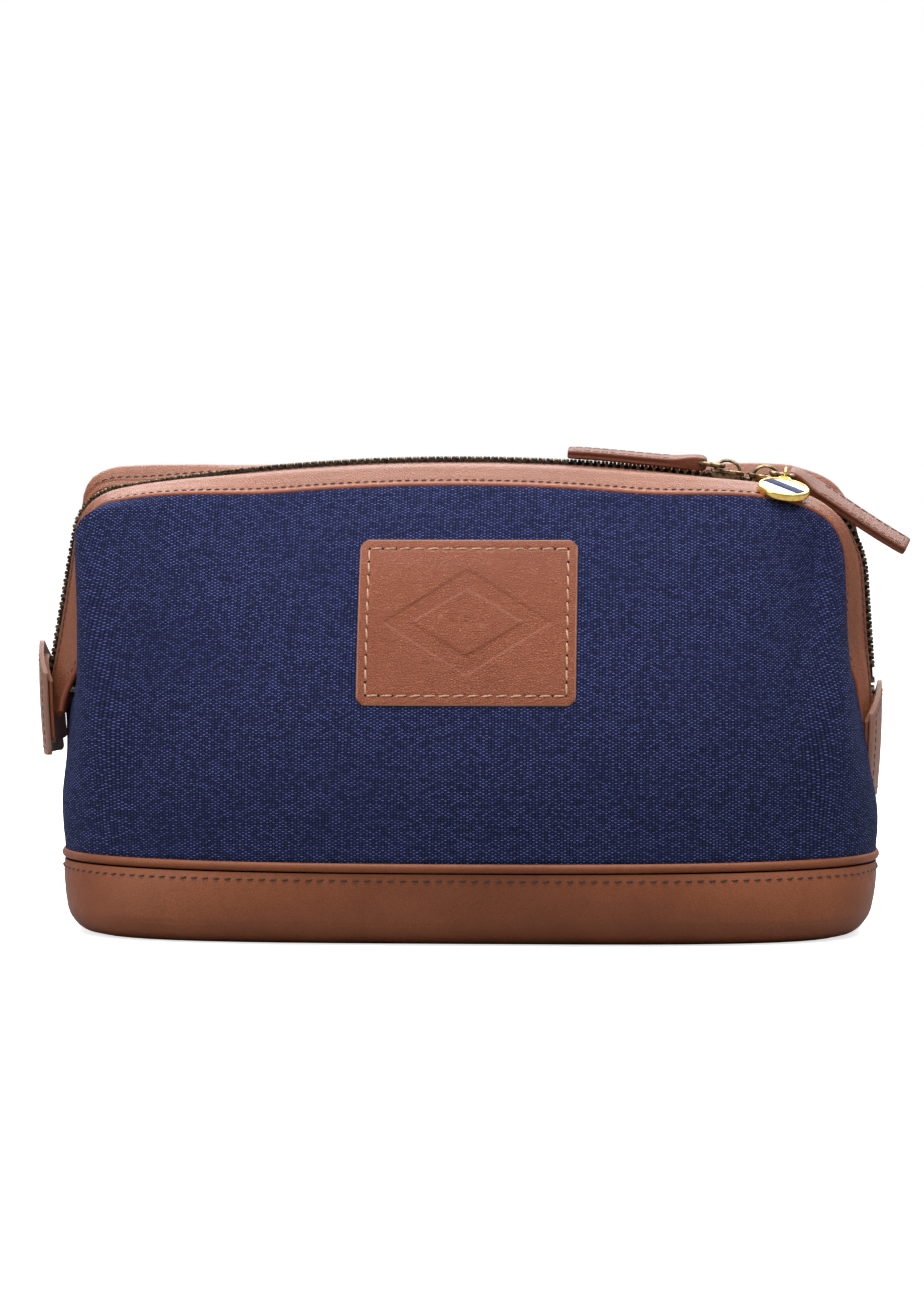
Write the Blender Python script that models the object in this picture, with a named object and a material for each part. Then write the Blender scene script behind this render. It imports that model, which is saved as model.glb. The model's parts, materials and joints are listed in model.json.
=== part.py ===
"""Shaving kit bag: a framed wash bag with a leather base, canvas sides, leather-bound zipped mouth,
two sliders with leather pulls and a hanging medallion charm.

Metres, +Z up. The origin is the centre of the underside, the front faces -Y and +X is to the right.
"""

import math

import bmesh
import bpy
from mathutils import Matrix, Vector

MM = 0.001
GAP = 0.3 * MM  # clearance between pieces that touch on the real bag

# Base: outline at the piping, which is the widest line of the bag
BASE_HALF_WIDTH = 130 * MM
BASE_HALF_DEPTH = 65 * MM
BASE_SIDES = 48
BASE_PIPING_Z = 24.3 * MM
PIPING_RADIUS = 1.5 * MM
TOP_POWER = 2.5  # superellipse power of the outline at the piping
SOLE_POWER = 3.6  # and on the ground, where the outline is squarer

# Mouth: the closed zip runs up one end, over the top and down the other end
MOUTH_X = -3.5 * MM  # the soft top sits a little left of the base
ZIP_TOP_Z = 148.4 * MM
ZIP_HALF_WIDTH = 131 * MM  # at the pivots
PIVOT_Z = 76 * MM
ARCH_RADIUS = 650 * MM
CORNER_RADIUS = {-1: 16 * MM, 1: 30 * MM}  # left and right, the right one slacker
END_FLARE = {-1: math.radians(10), 1: math.radians(4)}
TOP_STEPS, CORNER_STEPS, SIDE_STEPS = 9, 5, 3

# Walls: canvas and lining between the base piping and the mouth piping
WALL_FOOT_Z = 26.4 * MM
WALL_FOOT_INSET = 2 * MM
WALL_CONTROL_SHARE = 0.58
FRONT_SHARE = 0.58  # share of the half mouth edge that belongs to the flat front or back wall
PANEL_GAP_SHARE = 0.0065  # gap between that wall and the end panel
FOOT_SHARE = 0.9  # where the mouth edge leaves the zip and turns to the end seam
SEAM_TOP = Vector((125 * MM, 0, 68 * MM))
CANVAS_THICKNESS = 1.2 * MM
LINING_DEPTH = 2 * MM
LINING_THICKNESS = 0.6 * MM
WALL_ROWS = 6

# The canvas pushes the outer edge of the mouth up towards and round the corners, in millimetres
CORNER_LIFT, LIFT_START, LIFT_FULL, LIFT_FALL = 3.5, 55 * MM, 100 * MM, 32 * MM
EAR_LIFT, EAR_WIDTH = 2.0, 13 * MM
FOOT_LIFT, FOOT_LIFT_LENGTH = {-1: 0.0, 1: 4.5}, 22 * MM

# Patch on the front wall
PATCH_SIZE = (70 * MM, 52 * MM)
PATCH_CENTRE_X = 1.5 * MM
PATCH_CENTRE_Z = 99.5 * MM
PATCH_THICKNESS = 1.6 * MM
PATCH_CORNER = 3 * MM

# Frame pieces as (y, depth below the zip line), along the top and down the ends, in millimetres
STRIP_TOP = [(4.6, 0.4), (8.0, 0.8), (12.0, 1.9), (16.0, 4.0), (19.8, 6.4)]
STRIP_SIDE = [(4.6, 0.5), (6.6, 2.4), (8.6, 4.7), (10.4, 7.0), (12.0, 9.0)]
STRIP_THICKNESS = 1.2
TAPE_TOP = [(1.2, 1.9), (8.4, 3.2)]
TAPE_SIDE = [(1.2, 1.9), (5.0, 3.5)]
TAPE_THICKNESS = 0.5
COIL_CENTRE = (1.4, 0.0)
COIL_PARTED = 0.9  # how much further apart the coils run between the two sliders
COIL_RADIUS = 1.15
COIL_END_SHORT, TAPE_END_SHORT, PIPING_END_SHORT = 4.8 * MM, 3.5 * MM, 4.5 * MM
MOUTH_PIPING_RADIUS = 1.1
PIPING_TOP_CENTRE = (21.3, 7.5)
PIPING_SIDE_CENTRE = (13.4, 10.4)
EDGE_TOP = (22.3, 9.3)
EDGE_SIDE = (15.1, 11.4)
WIRE_TOP_CENTRE = (12.5, 6.2)
WIRE_SIDE_CENTRE = (5.0, 7.4)
WIRE_RADIUS = 1.2
WIRE_EYE_RADIUS = 3.0
WIRE_EYE_DEPTH = {-1: 5.4, 1: 8.2}  # the front wire's eye lies outside the back wire's eye

# Sliders, pulls and charm
SLIDER_LEFT_X = 84.8 * MM
SLIDER_RIGHT_X = 97 * MM
SLIDER_RIGHT_TURN = math.radians(70)  # how far the right slider travels round its corner
RING_BAR_X = 1.5 * MM
RING_HEIGHT = 3.75 * MM
RING_LENGTH = 7.4 * MM
RING_HALF_WIDTH = 3.8 * MM
RING_WIRE = 0.75 * MM
PULL_LENGTH = 42 * MM
PULL_DROOP = math.radians(22)  # the right pull hangs over the corner
PULL_DIP = math.radians(4)  # the left pull dips towards the zip
CHARM_PLACE = 4.3 * MM  # along the ring from its bar
JUMP_RING_RADIUS = 2.5 * MM
JUMP_RING_CENTRE = Vector((0, -RING_HALF_WIDTH - 0.9 * MM, RING_HEIGHT - 0.3 * MM))
CHARM_LINK = JUMP_RING_CENTRE + Vector((0, -1.1 * MM, -0.5 * MM))
CHARM_WIRE = 0.5 * MM
CHARM_SLOPE = math.radians(17.5)  # the medallion lies on the slope of the front strip
CHARM_RADIUS = 8.2 * MM

TAB_TOP_Z = {-1: 91 * MM, 1: 79 * MM}  # left and right end tabs sit at different heights
TAB_HEIGHT = 36 * MM
TAB_HALF_WIDTH = 14 * MM
TAB_INNER_X = 132.3 * MM
TAB_THICKNESS = 3 * MM

CANVAS_COLOUR = (0.022, 0.028, 0.085)
LEATHER_COLOUR = (0.20, 0.075, 0.035)
BRASS_COLOUR = (0.20, 0.13, 0.06)


# ---------------------------------------------------------------- objects and materials


def clear_scene():
    for obj in list(bpy.data.objects):
        bpy.data.objects.remove(obj, do_unlink=True)


def principled(name, colour, roughness, metallic=0.0):
    material = bpy.data.materials.new(name)
    material.use_nodes = True
    shader = material.node_tree.nodes["Principled BSDF"]
    shader.inputs["Base Color"].default_value = (*colour, 1)
    shader.inputs["Roughness"].default_value = roughness
    shader.inputs["Metallic"].default_value = metallic
    return material


def pivot_empty(name, position, parent=None):
    """An empty on a joint's axis, which the pieces of that body hang from."""
    empty = bpy.data.objects.new(name, None)
    bpy.context.collection.objects.link(empty)
    empty.parent = parent
    empty.location = Vector(position) - (parent.matrix_world.translation if parent else Vector())
    bpy.context.view_layer.update()
    return empty


def solid(name, rings, material, body, loop=False, sharp=40):
    """One closed body skinned over rings of points. A loop joins the last ring to the first."""
    mesh = bmesh.new()
    rows = [[mesh.verts.new(point) for point in ring] for ring in rings]
    count = len(rows[0])
    following = rows[1:] + rows[:1] if loop else rows[1:]
    for row, after in zip(rows, following):
        for i in range(count):
            j = (i + 1) % count
            mesh.faces.new((row[i], row[j], after[j], after[i]))
    if not loop:
        mesh.faces.new(rows[0])
        mesh.faces.new(reversed(rows[-1]))
    bmesh.ops.recalc_face_normals(mesh, faces=mesh.faces)
    data = bpy.data.meshes.new(name)
    mesh.to_mesh(data)
    mesh.free()
    data.materials.append(material)
    obj = bpy.data.objects.new(name, data)
    bpy.context.collection.objects.link(obj)
    data.shade_smooth()
    data.set_sharp_from_angle(angle=math.radians(sharp))
    if body is not None:
        obj.parent = body
        obj.matrix_parent_inverse = body.matrix_world.inverted()
    return obj


def combine(obj, other, operation):
    """Boolean between two solids, the second of which becomes a hidden helper."""
    other.hide_render = True
    other.display_type = "WIRE"
    modifier = obj.modifiers.new(operation.lower(), "BOOLEAN")
    modifier.operation = operation
    modifier.object = other


def mix(a, b, share):
    return a + (b - a) * share


def smooth_share(value):
    value = min(max(value, 0.0), 1.0)
    return value * value * (3 - 2 * value)


def circle(centre, radius, sides, turn=0.0):
    angles = [2 * math.pi * i / sides + turn for i in range(sides)]
    return [(centre[0] + radius * math.cos(a), centre[1] + radius * math.sin(a)) for a in angles]


def band_profile(line, thickness):
    """Closed outline of a band: the line, and the same line moved sideways by the thickness."""
    inner = []
    for i, point in enumerate(line):
        before = Vector(line[max(i - 1, 0)])
        after = Vector(line[min(i + 1, len(line) - 1)])
        along = (after - before).normalized()
        inner.append((point[0] - along.y * thickness, point[1] + along.x * thickness))
    return list(line) + inner[::-1]


def tube_rings(points, radius, sides, loop=False):
    """Rings of a round wire along points, with the frame carried along the path."""
    points = [Vector(p) for p in points]
    count = len(points)
    tangents = []
    for i in range(count):
        before = points[i - 1] if loop or i else points[0]
        after = points[(i + 1) % count] if loop or i < count - 1 else points[-1]
        tangents.append((after - before).normalized())
    normal = tangents[0].orthogonal().normalized()
    rings = []
    for point, tangent in zip(points, tangents):
        normal = (normal - tangent * normal.dot(tangent)).normalized()
        side = tangent.cross(normal)
        rings.append([point + normal * y + side * z for y, z in circle((0, 0), radius, sides)])
    return rings


def placed(rings, matrix):
    return [[matrix @ Vector(point) for point in ring] for ring in rings]


# ---------------------------------------------------------------- outline of the base


def outline_point(angle, inset, power):
    """A point of the base outline, moved inwards, at an angle from +X."""
    c, s = math.cos(angle), math.sin(angle)
    x = (BASE_HALF_WIDTH - inset) * math.copysign(abs(c) ** (2 / power), c)
    y = (BASE_HALF_DEPTH - inset) * math.copysign(abs(s) ** (2 / power), s)
    return x, y


def outline_ring(inset, z, power):
    angles = [2 * math.pi * i / BASE_SIDES for i in range(BASE_SIDES)]
    return [Vector((*outline_point(a, inset, power), z)) for a in angles]


def base_rows(rows):
    """Rings from (inset, z) in millimetres, with the outline squarer towards the ground."""
    rings = []
    for inset, z in rows:
        share = min(z * MM / BASE_PIPING_Z, 1.0)
        rings.append(outline_ring(inset * MM, z * MM, mix(SOLE_POWER, TOP_POWER, share)))
    return rings


def make_base(leather, board, lining):
    solid("base_panel", base_rows([(12.0, 0.0), (12.0, 1.3)]), leather, None)
    solid("base_board", base_rows([(10.0, 2.6), (10.0, 4.4)]), board, None)
    outside = [(0.7, 22.5), (1.5, 15), (3.0, 7), (5.2, 2.6), (8.0, 0.7), (11.5, 0.2)]
    inside = [(11.5, 1.5), (8.6, 2.1), (6.3, 3.9), (4.3, 7.6), (2.8, 15), (2.0, 22.5)]
    solid("base_band", base_rows(outside + inside), leather, None, loop=True)
    inset = PIPING_RADIUS
    section = circle((inset, BASE_PIPING_Z), PIPING_RADIUS, 8)
    rings = [outline_ring(d, z, TOP_POWER) for d, z in section]
    solid("base_piping", rings, leather, None, loop=True)
    under = [(12.0, 4.8), (8.0, 5.4), (5.2, 8.6), (3.6, 15), (3.0, 22.4)]
    over = [(3.6, 22.4), (4.2, 15), (5.8, 9.0), (8.4, 6.0), (12.0, 5.4)]
    solid("lining_tray", base_rows(under + over), lining, None)


# ---------------------------------------------------------------- line of the zip


class ZipHalf:
    """Half of the line, on the right: half the arch, a corner arc and a flared side."""

    def __init__(self, end):
        self.radius = CORNER_RADIUS[end]
        self.foot_lift = FOOT_LIFT[end]
        tilt = END_FLARE[end]
        self.flare = flare = Vector((math.cos(tilt), math.sin(tilt)))
        reach = ARCH_RADIUS - self.radius
        arch_z = ZIP_TOP_Z - ARCH_RADIUS
        level = arch_z + self.radius * flare.y - PIVOT_Z
        across = ZIP_HALF_WIDTH - self.radius * flare.x - level * math.tan(tilt)
        self.arch_angle = math.asin(across * flare.x / reach) - tilt
        self.arch_centre = Vector((0, arch_z))
        lean = Vector((math.sin(self.arch_angle), math.cos(self.arch_angle)))
        self.corner = self.arch_centre + reach * lean
        self.side_top = self.corner + self.radius * flare
        self.arch_length = ARCH_RADIUS * self.arch_angle
        self.corner_length = self.radius * (math.pi / 2 - tilt - self.arch_angle)
        self.side_length = (self.side_top.y - PIVOT_Z) / flare.x
        self.length = self.arch_length + self.corner_length + self.side_length

    def station(self, along):
        """(x, z) of the line, its outward normal and its share of the end profile."""
        if along < self.arch_length:
            angle = along / ARCH_RADIUS
            normal = Vector((math.sin(angle), math.cos(angle)))
            point = self.arch_centre + normal * ARCH_RADIUS
        elif along < self.arch_length + self.corner_length:
            angle = self.arch_angle + (along - self.arch_length) / self.radius
            normal = Vector((math.sin(angle), math.cos(angle)))
            point = self.corner + normal * self.radius
        else:
            down = along - self.arch_length - self.corner_length
            normal = self.flare
            point = self.side_top + down * Vector((self.flare.y, -self.flare.x))
        lead = 12 * MM
        share = smooth_share((along - self.arch_length + lead) / (self.corner_length + lead))
        return point, normal, share

    def lift(self, along):
        """How far the canvas pushes the outer edge of the mouth up at a distance, in millimetres."""
        side_start = self.arch_length + self.corner_length
        rise = smooth_share((along - LIFT_START) / (LIFT_FULL - LIFT_START))
        fall = 1 - smooth_share((along - side_start) / LIFT_FALL)
        ear = math.exp(-(((along - side_start + self.corner_length / 2) / EAR_WIDTH) ** 2))
        foot = smooth_share((along - self.length + FOOT_LIFT_LENGTH) / FOOT_LIFT_LENGTH)
        return CORNER_LIFT * rise * fall + EAR_LIFT * ear + self.foot_lift * foot

    def distances(self, short=0.0):
        """Distances of the sweep stations from the middle to a length short of the foot."""
        stops = [self.arch_length * i / TOP_STEPS for i in range(TOP_STEPS)]
        stops += [self.arch_length + self.corner_length * i / CORNER_STEPS for i in range(CORNER_STEPS)]
        stops += [self.length - self.side_length * (1 - i / SIDE_STEPS) for i in range(SIDE_STEPS)]
        return stops + [self.length - short]


class ZipLine:
    """Centre line of the closed zip, from one pivot over the top to the other."""

    def __init__(self):
        self.halves = {end: ZipHalf(end) for end in (-1, 1)}

    def station(self, distance):
        """The half line's station. The distance runs from the middle, positive to the right."""
        point, normal, share = self.halves[-1 if distance < 0 else 1].station(abs(distance))
        if distance < 0:
            point, normal = Vector((-point.x, point.y)), Vector((-normal.x, normal.y))
        point.x += MOUTH_X
        return point, normal, share

    def both_halves(self, short=0.0):
        """Stations from foot to foot, ending a length short of the pivots."""
        left = [-d for d in self.halves[-1].distances(short)]
        return left[:0:-1] + self.halves[1].distances(short)

    def point(self, distance, side, y, depth):
        """World point at y and a depth below the line, in millimetres. Side is -1 front, 1 back."""
        place, normal, _ = self.station(distance)
        place = place - normal * depth * MM
        return Vector((place.x, side * y * MM, place.y))

    def mixed_point(self, distance, side, top, end):
        share = self.station(distance)[2]
        y = mix(top[0], end[0], share)
        inner, outer = STRIP_TOP[0][0], mix(STRIP_TOP[-1][0], STRIP_SIDE[-1][0], share)
        outwards = min(max((y - inner) / (outer - inner), 0.0), 1.0)
        lift = self.halves[-1 if distance < 0 else 1].lift(abs(distance)) * outwards
        return self.point(distance, side, y, mix(top[1], end[1], share) - lift)


def turning_centre(half):
    """(x, z) about which the right slider turns from its place on the arch down onto the corner arc."""
    lean = math.asin(SLIDER_RIGHT_X / ARCH_RADIUS)
    start = half.arch_centre + ARCH_RADIUS * Vector((math.sin(lean), math.cos(lean)))
    lean += SLIDER_RIGHT_TURN
    chord = half.corner + half.radius * Vector((math.sin(lean), math.cos(lean))) - start
    return start + chord / 2 + Vector((chord.y, -chord.x)) / (2 * math.tan(SLIDER_RIGHT_TURN / 2))


def frame_rings(zip_line, side, top_profile, end_profile, short=0.0):
    rings = []
    for distance in zip_line.both_halves(short):
        pairs = zip(top_profile, end_profile)
        rings.append([zip_line.mixed_point(distance, side, top, end) for top, end in pairs])
    return rings


def coil_rings(zip_line, side):
    """The coil, parted between the two sliders. It stops just above the pivot."""
    left, right = SLIDER_LEFT_X, SLIDER_RIGHT_X
    stops = zip_line.both_halves(COIL_END_SHORT)
    stops += [left - 4 * MM, left + 1 * MM, right - 1 * MM, right + 4 * MM]
    points = []
    for distance in sorted(stops):
        into = smooth_share((distance - left + 5 * MM) / (6 * MM))
        out = smooth_share((distance - right + 1 * MM) / (6 * MM))
        y = COIL_CENTRE[0] + COIL_PARTED * (into - out)
        points.append(zip_line.point(distance, side, y, COIL_CENTRE[1]))
    return tube_rings(points, COIL_RADIUS * MM, 6)


def wire_half(zip_line, side, end):
    """The spring wire from the middle to one end, where it bends round the pivot."""
    half = zip_line.halves[end]
    points = []
    for distance in half.distances():
        if distance < half.length - 14 * MM:
            points.append(zip_line.mixed_point(end * distance, side, WIRE_TOP_CENTRE, WIRE_SIDE_CENTRE))
    foot = zip_line.station(end * half.length)[0]
    eye_x = foot.x - end * WIRE_EYE_DEPTH[side] * MM
    radius = WIRE_EYE_RADIUS * MM
    points.append(Vector((eye_x, side * radius, PIVOT_Z + 5 * MM)))
    for i in range(9):
        angle = math.radians(180 + 30 * i)
        y, z = -side * radius * math.cos(angle), radius * math.sin(angle)
        points.append(Vector((eye_x, y, PIVOT_Z + z)))
    return points


def make_frame(zip_line, side, body, leather, tape, teeth, steel):
    place = "front" if side < 0 else "back"
    top = band_profile(STRIP_TOP, STRIP_THICKNESS)
    end = band_profile(STRIP_SIDE, STRIP_THICKNESS)
    solid(f"top_strip_{place}", frame_rings(zip_line, side, top, end), leather, body)
    top = circle(PIPING_TOP_CENTRE, MOUTH_PIPING_RADIUS, 8)
    end = circle(PIPING_SIDE_CENTRE, MOUTH_PIPING_RADIUS, 8)
    rings = frame_rings(zip_line, side, top, end, PIPING_END_SHORT)
    solid(f"mouth_piping_{place}", rings, leather, body)
    top = band_profile(TAPE_TOP, TAPE_THICKNESS)
    end = band_profile(TAPE_SIDE, TAPE_THICKNESS)
    rings = frame_rings(zip_line, side, top, end, TAPE_END_SHORT)
    solid(f"zip_tape_{place}", rings, tape, body)
    solid(f"zip_coil_{place}", coil_rings(zip_line, side), teeth, body)
    wire = wire_half(zip_line, side, -1)[:0:-1] + wire_half(zip_line, side, 1)
    rings = tube_rings(wire, WIRE_RADIUS * MM, 6)
    solid(f"frame_wire_{place}", rings, steel, body)


# ---------------------------------------------------------------- walls


def mouth_edge(zip_line, share, side):
    """Top edge of the wall. The share runs from 0 in the middle to 1 at the end seam."""
    sign = -1 if share < 0 else 1
    length = zip_line.halves[sign].length
    if abs(share) <= FOOT_SHARE:
        return zip_line.mixed_point(share / FOOT_SHARE * length, side, EDGE_TOP, EDGE_SIDE)
    foot = zip_line.mixed_point(sign * length, side, EDGE_TOP, EDGE_SIDE)
    seam = Vector((MOUTH_X + sign * SEAM_TOP.x, 0, SEAM_TOP.z))
    return foot.lerp(seam, (abs(share) - FOOT_SHARE) / (1 - FOOT_SHARE))


def wall_point(zip_line, share, side, height):
    """Outer face of the canvas: an arc that leaves the base upright and leans in to the mouth."""
    angle = math.radians(90 * share - 90)
    x, y = outline_point(angle, WALL_FOOT_INSET, TOP_POWER)
    foot = Vector((x, -side * y, WALL_FOOT_Z))
    top = mouth_edge(zip_line, share, side)
    control = foot.copy()
    control.z = mix(foot.z, top.z, WALL_CONTROL_SHARE)
    return foot.lerp(control, height).lerp(control.lerp(top, height), height)


def wall_inside(zip_line, share, side, height, depth):
    """The point at a depth behind the outer face."""
    step = 0.004
    before, after = max(share - step, -1), min(share + step, 1)
    low, high = max(height - step, 0), min(height + step, 1)
    across = wall_point(zip_line, after, side, height) - wall_point(zip_line, before, side, height)
    up = wall_point(zip_line, share, side, high) - wall_point(zip_line, share, side, low)
    normal = across.cross(up) * -side
    if abs(share) > 1 - step:
        normal.y = 0
    return wall_point(zip_line, share, side, height) - normal.normalized() * depth


def wall_rings(zip_line, places, depth, thickness):
    """Thin closed columns of wall, one for each (share, side)."""
    heights = [i / WALL_ROWS for i in range(WALL_ROWS + 1)]
    rings = []
    for share, side in places:
        outer = [wall_inside(zip_line, share, side, h, depth) for h in heights]
        inner = [wall_inside(zip_line, share, side, h, depth + thickness) for h in heights]
        rings.append(outer + inner[::-1])
    return rings


def wall_places():
    """Columns of the four wall panels. Neighbours keep a small gap at the corners of the bag."""
    flat_steps, end_steps = 18, 7
    flat = [FRONT_SHARE * (2 * i / flat_steps - 1) for i in range(flat_steps + 1)]
    start = FRONT_SHARE + PANEL_GAP_SHARE
    end = [start + (1 - start) * i / end_steps for i in range(end_steps + 1)]
    return {
        "front": [(share, -1) for share in flat],
        "back": [(share, 1) for share in flat],
        "end_right": [(s, -1) for s in end] + [(s, 1) for s in end[-2::-1]],
        "end_left": [(-s, -1) for s in end] + [(-s, 1) for s in end[-2::-1]],
    }


def make_walls(zip_line, bodies, canvas, lining):
    for place, columns in wall_places().items():
        body = bodies.get(place)
        rings = wall_rings(zip_line, columns, 0, CANVAS_THICKNESS)
        solid(f"canvas_{place}", rings, canvas, body)
        rings = wall_rings(zip_line, columns, LINING_DEPTH, LINING_THICKNESS)
        solid(f"lining_{place}", rings, lining, body)


def make_patch(zip_line, body, leather):
    """Leather patch that follows the curve of the front wall."""
    half_width, half_height = PATCH_SIZE[0] / 2, PATCH_SIZE[1] / 2
    columns, rows = 10, 8
    outer, inner = [], []
    for i in range(columns + 1):
        x = PATCH_CENTRE_X + mix(-half_width, half_width, i / columns)
        corner = PATCH_CORNER if i in (0, columns) else 0
        zs = [PATCH_CENTRE_Z + (half_height - corner) * (2 * j / rows - 1) for j in range(rows + 1)]
        column = [front_wall_at(zip_line, x, z) for z in zs]
        inner.append([point + normal * GAP for point, normal in column])
        outer.append([point + normal * (GAP + PATCH_THICKNESS) for point, normal in column])
    rings = [out + back[::-1] for out, back in zip(outer, inner)]
    solid("leather_patch", rings, leather, body)


def front_wall_at(zip_line, x, z):
    """(point, normal) of the front wall's outer face at x and z, found by stepping along it."""
    share, height = x / (2 * BASE_HALF_WIDTH), 0.5
    for _ in range(20):
        point = wall_point(zip_line, share, -1, height)
        share += (x - point.x) / (2 * BASE_HALF_WIDTH)
        height += (z - point.z) / (ZIP_TOP_Z - WALL_FOOT_Z)
    point = wall_point(zip_line, share, -1, height)
    return point, (point - wall_inside(zip_line, share, -1, height, 1 * MM)).normalized()


# ---------------------------------------------------------------- ends: tabs, pivots and zip stops


def make_tab(side, leather):
    """Folded leather tongue over the end of the zip, with a pointed top."""
    name = "end_tab_left" if side < 0 else "end_tab_right"
    top = TAB_TOP_Z[side]
    low = top - TAB_HEIGHT
    shoulder = top - 7 * MM
    half, corner = TAB_HALF_WIDTH, 2.5 * MM
    outline = [(-half + corner, low), (half - corner, low), (half, low + corner), (half, shoulder)]
    outline += [(half - 1 * MM, shoulder + 1 * MM), (0, top)]
    outline += [(1 * MM - half, shoulder + 1 * MM), (-half, shoulder), (-half, low + corner)]
    rings = []
    for depth, inset in ((0, 0.4), (0.5 * MM, 0), (TAB_THICKNESS - 0.8 * MM, 0), (TAB_THICKNESS, 0.8)):
        scale = 1 - inset * MM / half
        x = MOUTH_X + side * (TAB_INNER_X + depth)
        middle = (top + low) / 2
        rings.append([Vector((x, y * scale, middle + (z - middle) * scale)) for y, z in outline])
    solid(name, rings, leather, None)


def make_pivot(side, steel):
    """Rivet through both wire eyes, headed on the inside."""
    name = "pivot_pin_left" if side < 0 else "pivot_pin_right"
    profile = [(118.6, 2.2), (119.2, 2.8), (120.4, 2.8), (120.4, 1.5), (131.6, 1.5), (131.9, 1.2)]
    rings = []
    for x, radius in profile:
        ring = circle((0, PIVOT_Z), radius * MM, 16)
        rings.append([Vector((MOUTH_X + side * x * MM, y, z)) for y, z in ring])
    solid(name, rings, steel, None)


def make_stop(zip_line, side, brass):
    """Crimped stop at the foot of the zip, held by both tapes."""
    name = "zip_stop_left" if side < 0 else "zip_stop_right"
    place, normal, _ = zip_line.station(side * (zip_line.halves[side].length - 3.1 * MM))
    along = Vector((-normal.y, normal.x)) if side > 0 else Vector((normal.y, -normal.x))
    rings = []
    for depth in (-1.1, 1.1):
        ring = []
        for y, lengthwise in ((-2.4, -0.9), (2.4, -0.9), (2.4, 0.9), (-2.4, 0.9)):
            point = place - normal * depth * MM + along * lengthwise * MM
            ring.append(Vector((point.x, y * MM, point.y)))
        rings.append(ring)
    solid(name, rings, brass, None)


# ---------------------------------------------------------------- sliders, rings and pulls


def slider_frame(zip_line, x):
    """Matrix of a slider: local X along the zip to the right, local Z out of the zip line."""
    distance = ARCH_RADIUS * math.asin(x / ARCH_RADIUS)
    place, normal, _ = zip_line.station(distance)
    angle = math.atan2(normal.x, normal.y)
    position = Vector((place.x, 0, place.y))
    return Matrix.Translation(position) @ Matrix.Rotation(angle, 4, "Y")


def plate_rings(outline, low, high):
    return [[Vector((x * MM, y * MM, z * MM)) for x, y in outline] for z in (low, high)]


def make_slider(name, matrix, nose, brass, body):
    """Zip slider. Its nose, where the post parts the chain, points to +X or -X."""
    flip = Matrix.Scale(nose, 4, (1, 0, 0))
    place = matrix @ flip
    shield = [(-5.2, -3.2), (-5.2, 3.2), (0.5, 4.3), (4.4, 4.3), (5.2, 3.4), (5.2, -3.4)]
    shield += [(4.4, -4.3), (0.5, -4.3)]
    post = [(2.4, -0.45), (2.4, 0.45), (4.9, 0.7), (4.9, -0.7)]
    body_solid = solid(name, placed(plate_rings(shield, 1.5, 2.7), place), brass, body)
    lower = solid(name + "_lower", placed(plate_rings(shield, -4.4, -3.4), place), brass, body)
    column = solid(name + "_post", placed(plate_rings(post, -3.9, 2.0), place), brass, body)
    combine(body_solid, column, "UNION")
    combine(body_solid, lower, "UNION")
    for side in (-1, 1):
        flange = [(-4.8, 3.0), (0.5, 3.9), (4.2, 3.9), (4.2, 3.4), (0.7, 3.4), (-4.8, 2.6)]
        flange = [(x, side * y) for x, y in flange]
        wall = solid(f"{name}_flange_{side}", placed(plate_rings(flange, 0.2, 2.0), place), brass, body)
        combine(body_solid, wall, "UNION")
    arch = []
    for i in range(11):
        angle = math.pi * i / 10
        arch.append(Vector((-3.8 * MM * math.cos(angle), 0, (2.3 + 3.4 * math.sin(angle)) * MM)))
    bridge = solid(name + "_bridge", placed(tube_rings(arch, 0.6 * MM, 8), place), brass, body)
    combine(body_solid, bridge, "UNION")


def ring_points():
    """Rounded rectangle in the local XY plane, from the bar under the bridge at X = 0."""
    corner, steps = 1.4 * MM, 4
    points = []
    middle = RING_LENGTH / 2
    for quarter, (sx, sy) in enumerate(((1, 1), (-1, 1), (-1, -1), (1, -1))):
        cx = middle + sx * (middle - corner)
        cy = sy * (RING_HALF_WIDTH - corner)
        for i in range(steps + 1):
            angle = math.pi / 2 * (quarter + i / steps)
            points.append(Vector((cx + corner * math.cos(angle), cy + corner * math.sin(angle), 0)))
    return points


def make_ring(name, matrix, brass, body):
    """Wire ring from the slider's bridge to the leather pull. Local +X points along the pull."""
    solid(name, placed(tube_rings(ring_points(), RING_WIRE, 8, True), matrix), brass, body, loop=True)


def make_pull(name, matrix, leather, body):
    """Folded leather strap. Its neck wraps the ring's outer bar, and local +X runs to its tip."""
    stations = [(-2.35, 2.6, 0.9), (-1.9, 3.0, 1.7), (0, 3.0, 2.3), (2.2, 3.0, 2.1), (5, 3.9, 1.6)]
    stations += [(9, 4.6, 1.3), (25, 4.6, 1.3), (PULL_LENGTH / MM - 0.5, 4.6, 1.3)]
    stations += [(PULL_LENGTH / MM, 4.3, 1.0)]
    rings = []
    for x, half_width, half_height in stations:
        chamfer = 0.4
        corners = []
        for sy, sz in ((1, 1), (-1, 1), (-1, -1), (1, -1)):
            near = (sy * (half_width - chamfer), sz * half_height)
            far = (sy * half_width, sz * (half_height - chamfer))
            corners += [far, near] if sy * sz > 0 else [near, far]
        rings.append([Vector((x * MM, y * MM, z * MM)) for y, z in corners])
    strap = solid(name, placed(rings, matrix), leather, body)
    tunnel = [[Vector((x, y, z)) for x, z in circle((0, 0), 1.15 * MM, 12)] for y in (-6 * MM, 6 * MM)]
    cutter = solid(name + "_tunnel", placed(tunnel, matrix), leather, body)
    combine(strap, cutter, "DIFFERENCE")


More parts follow.
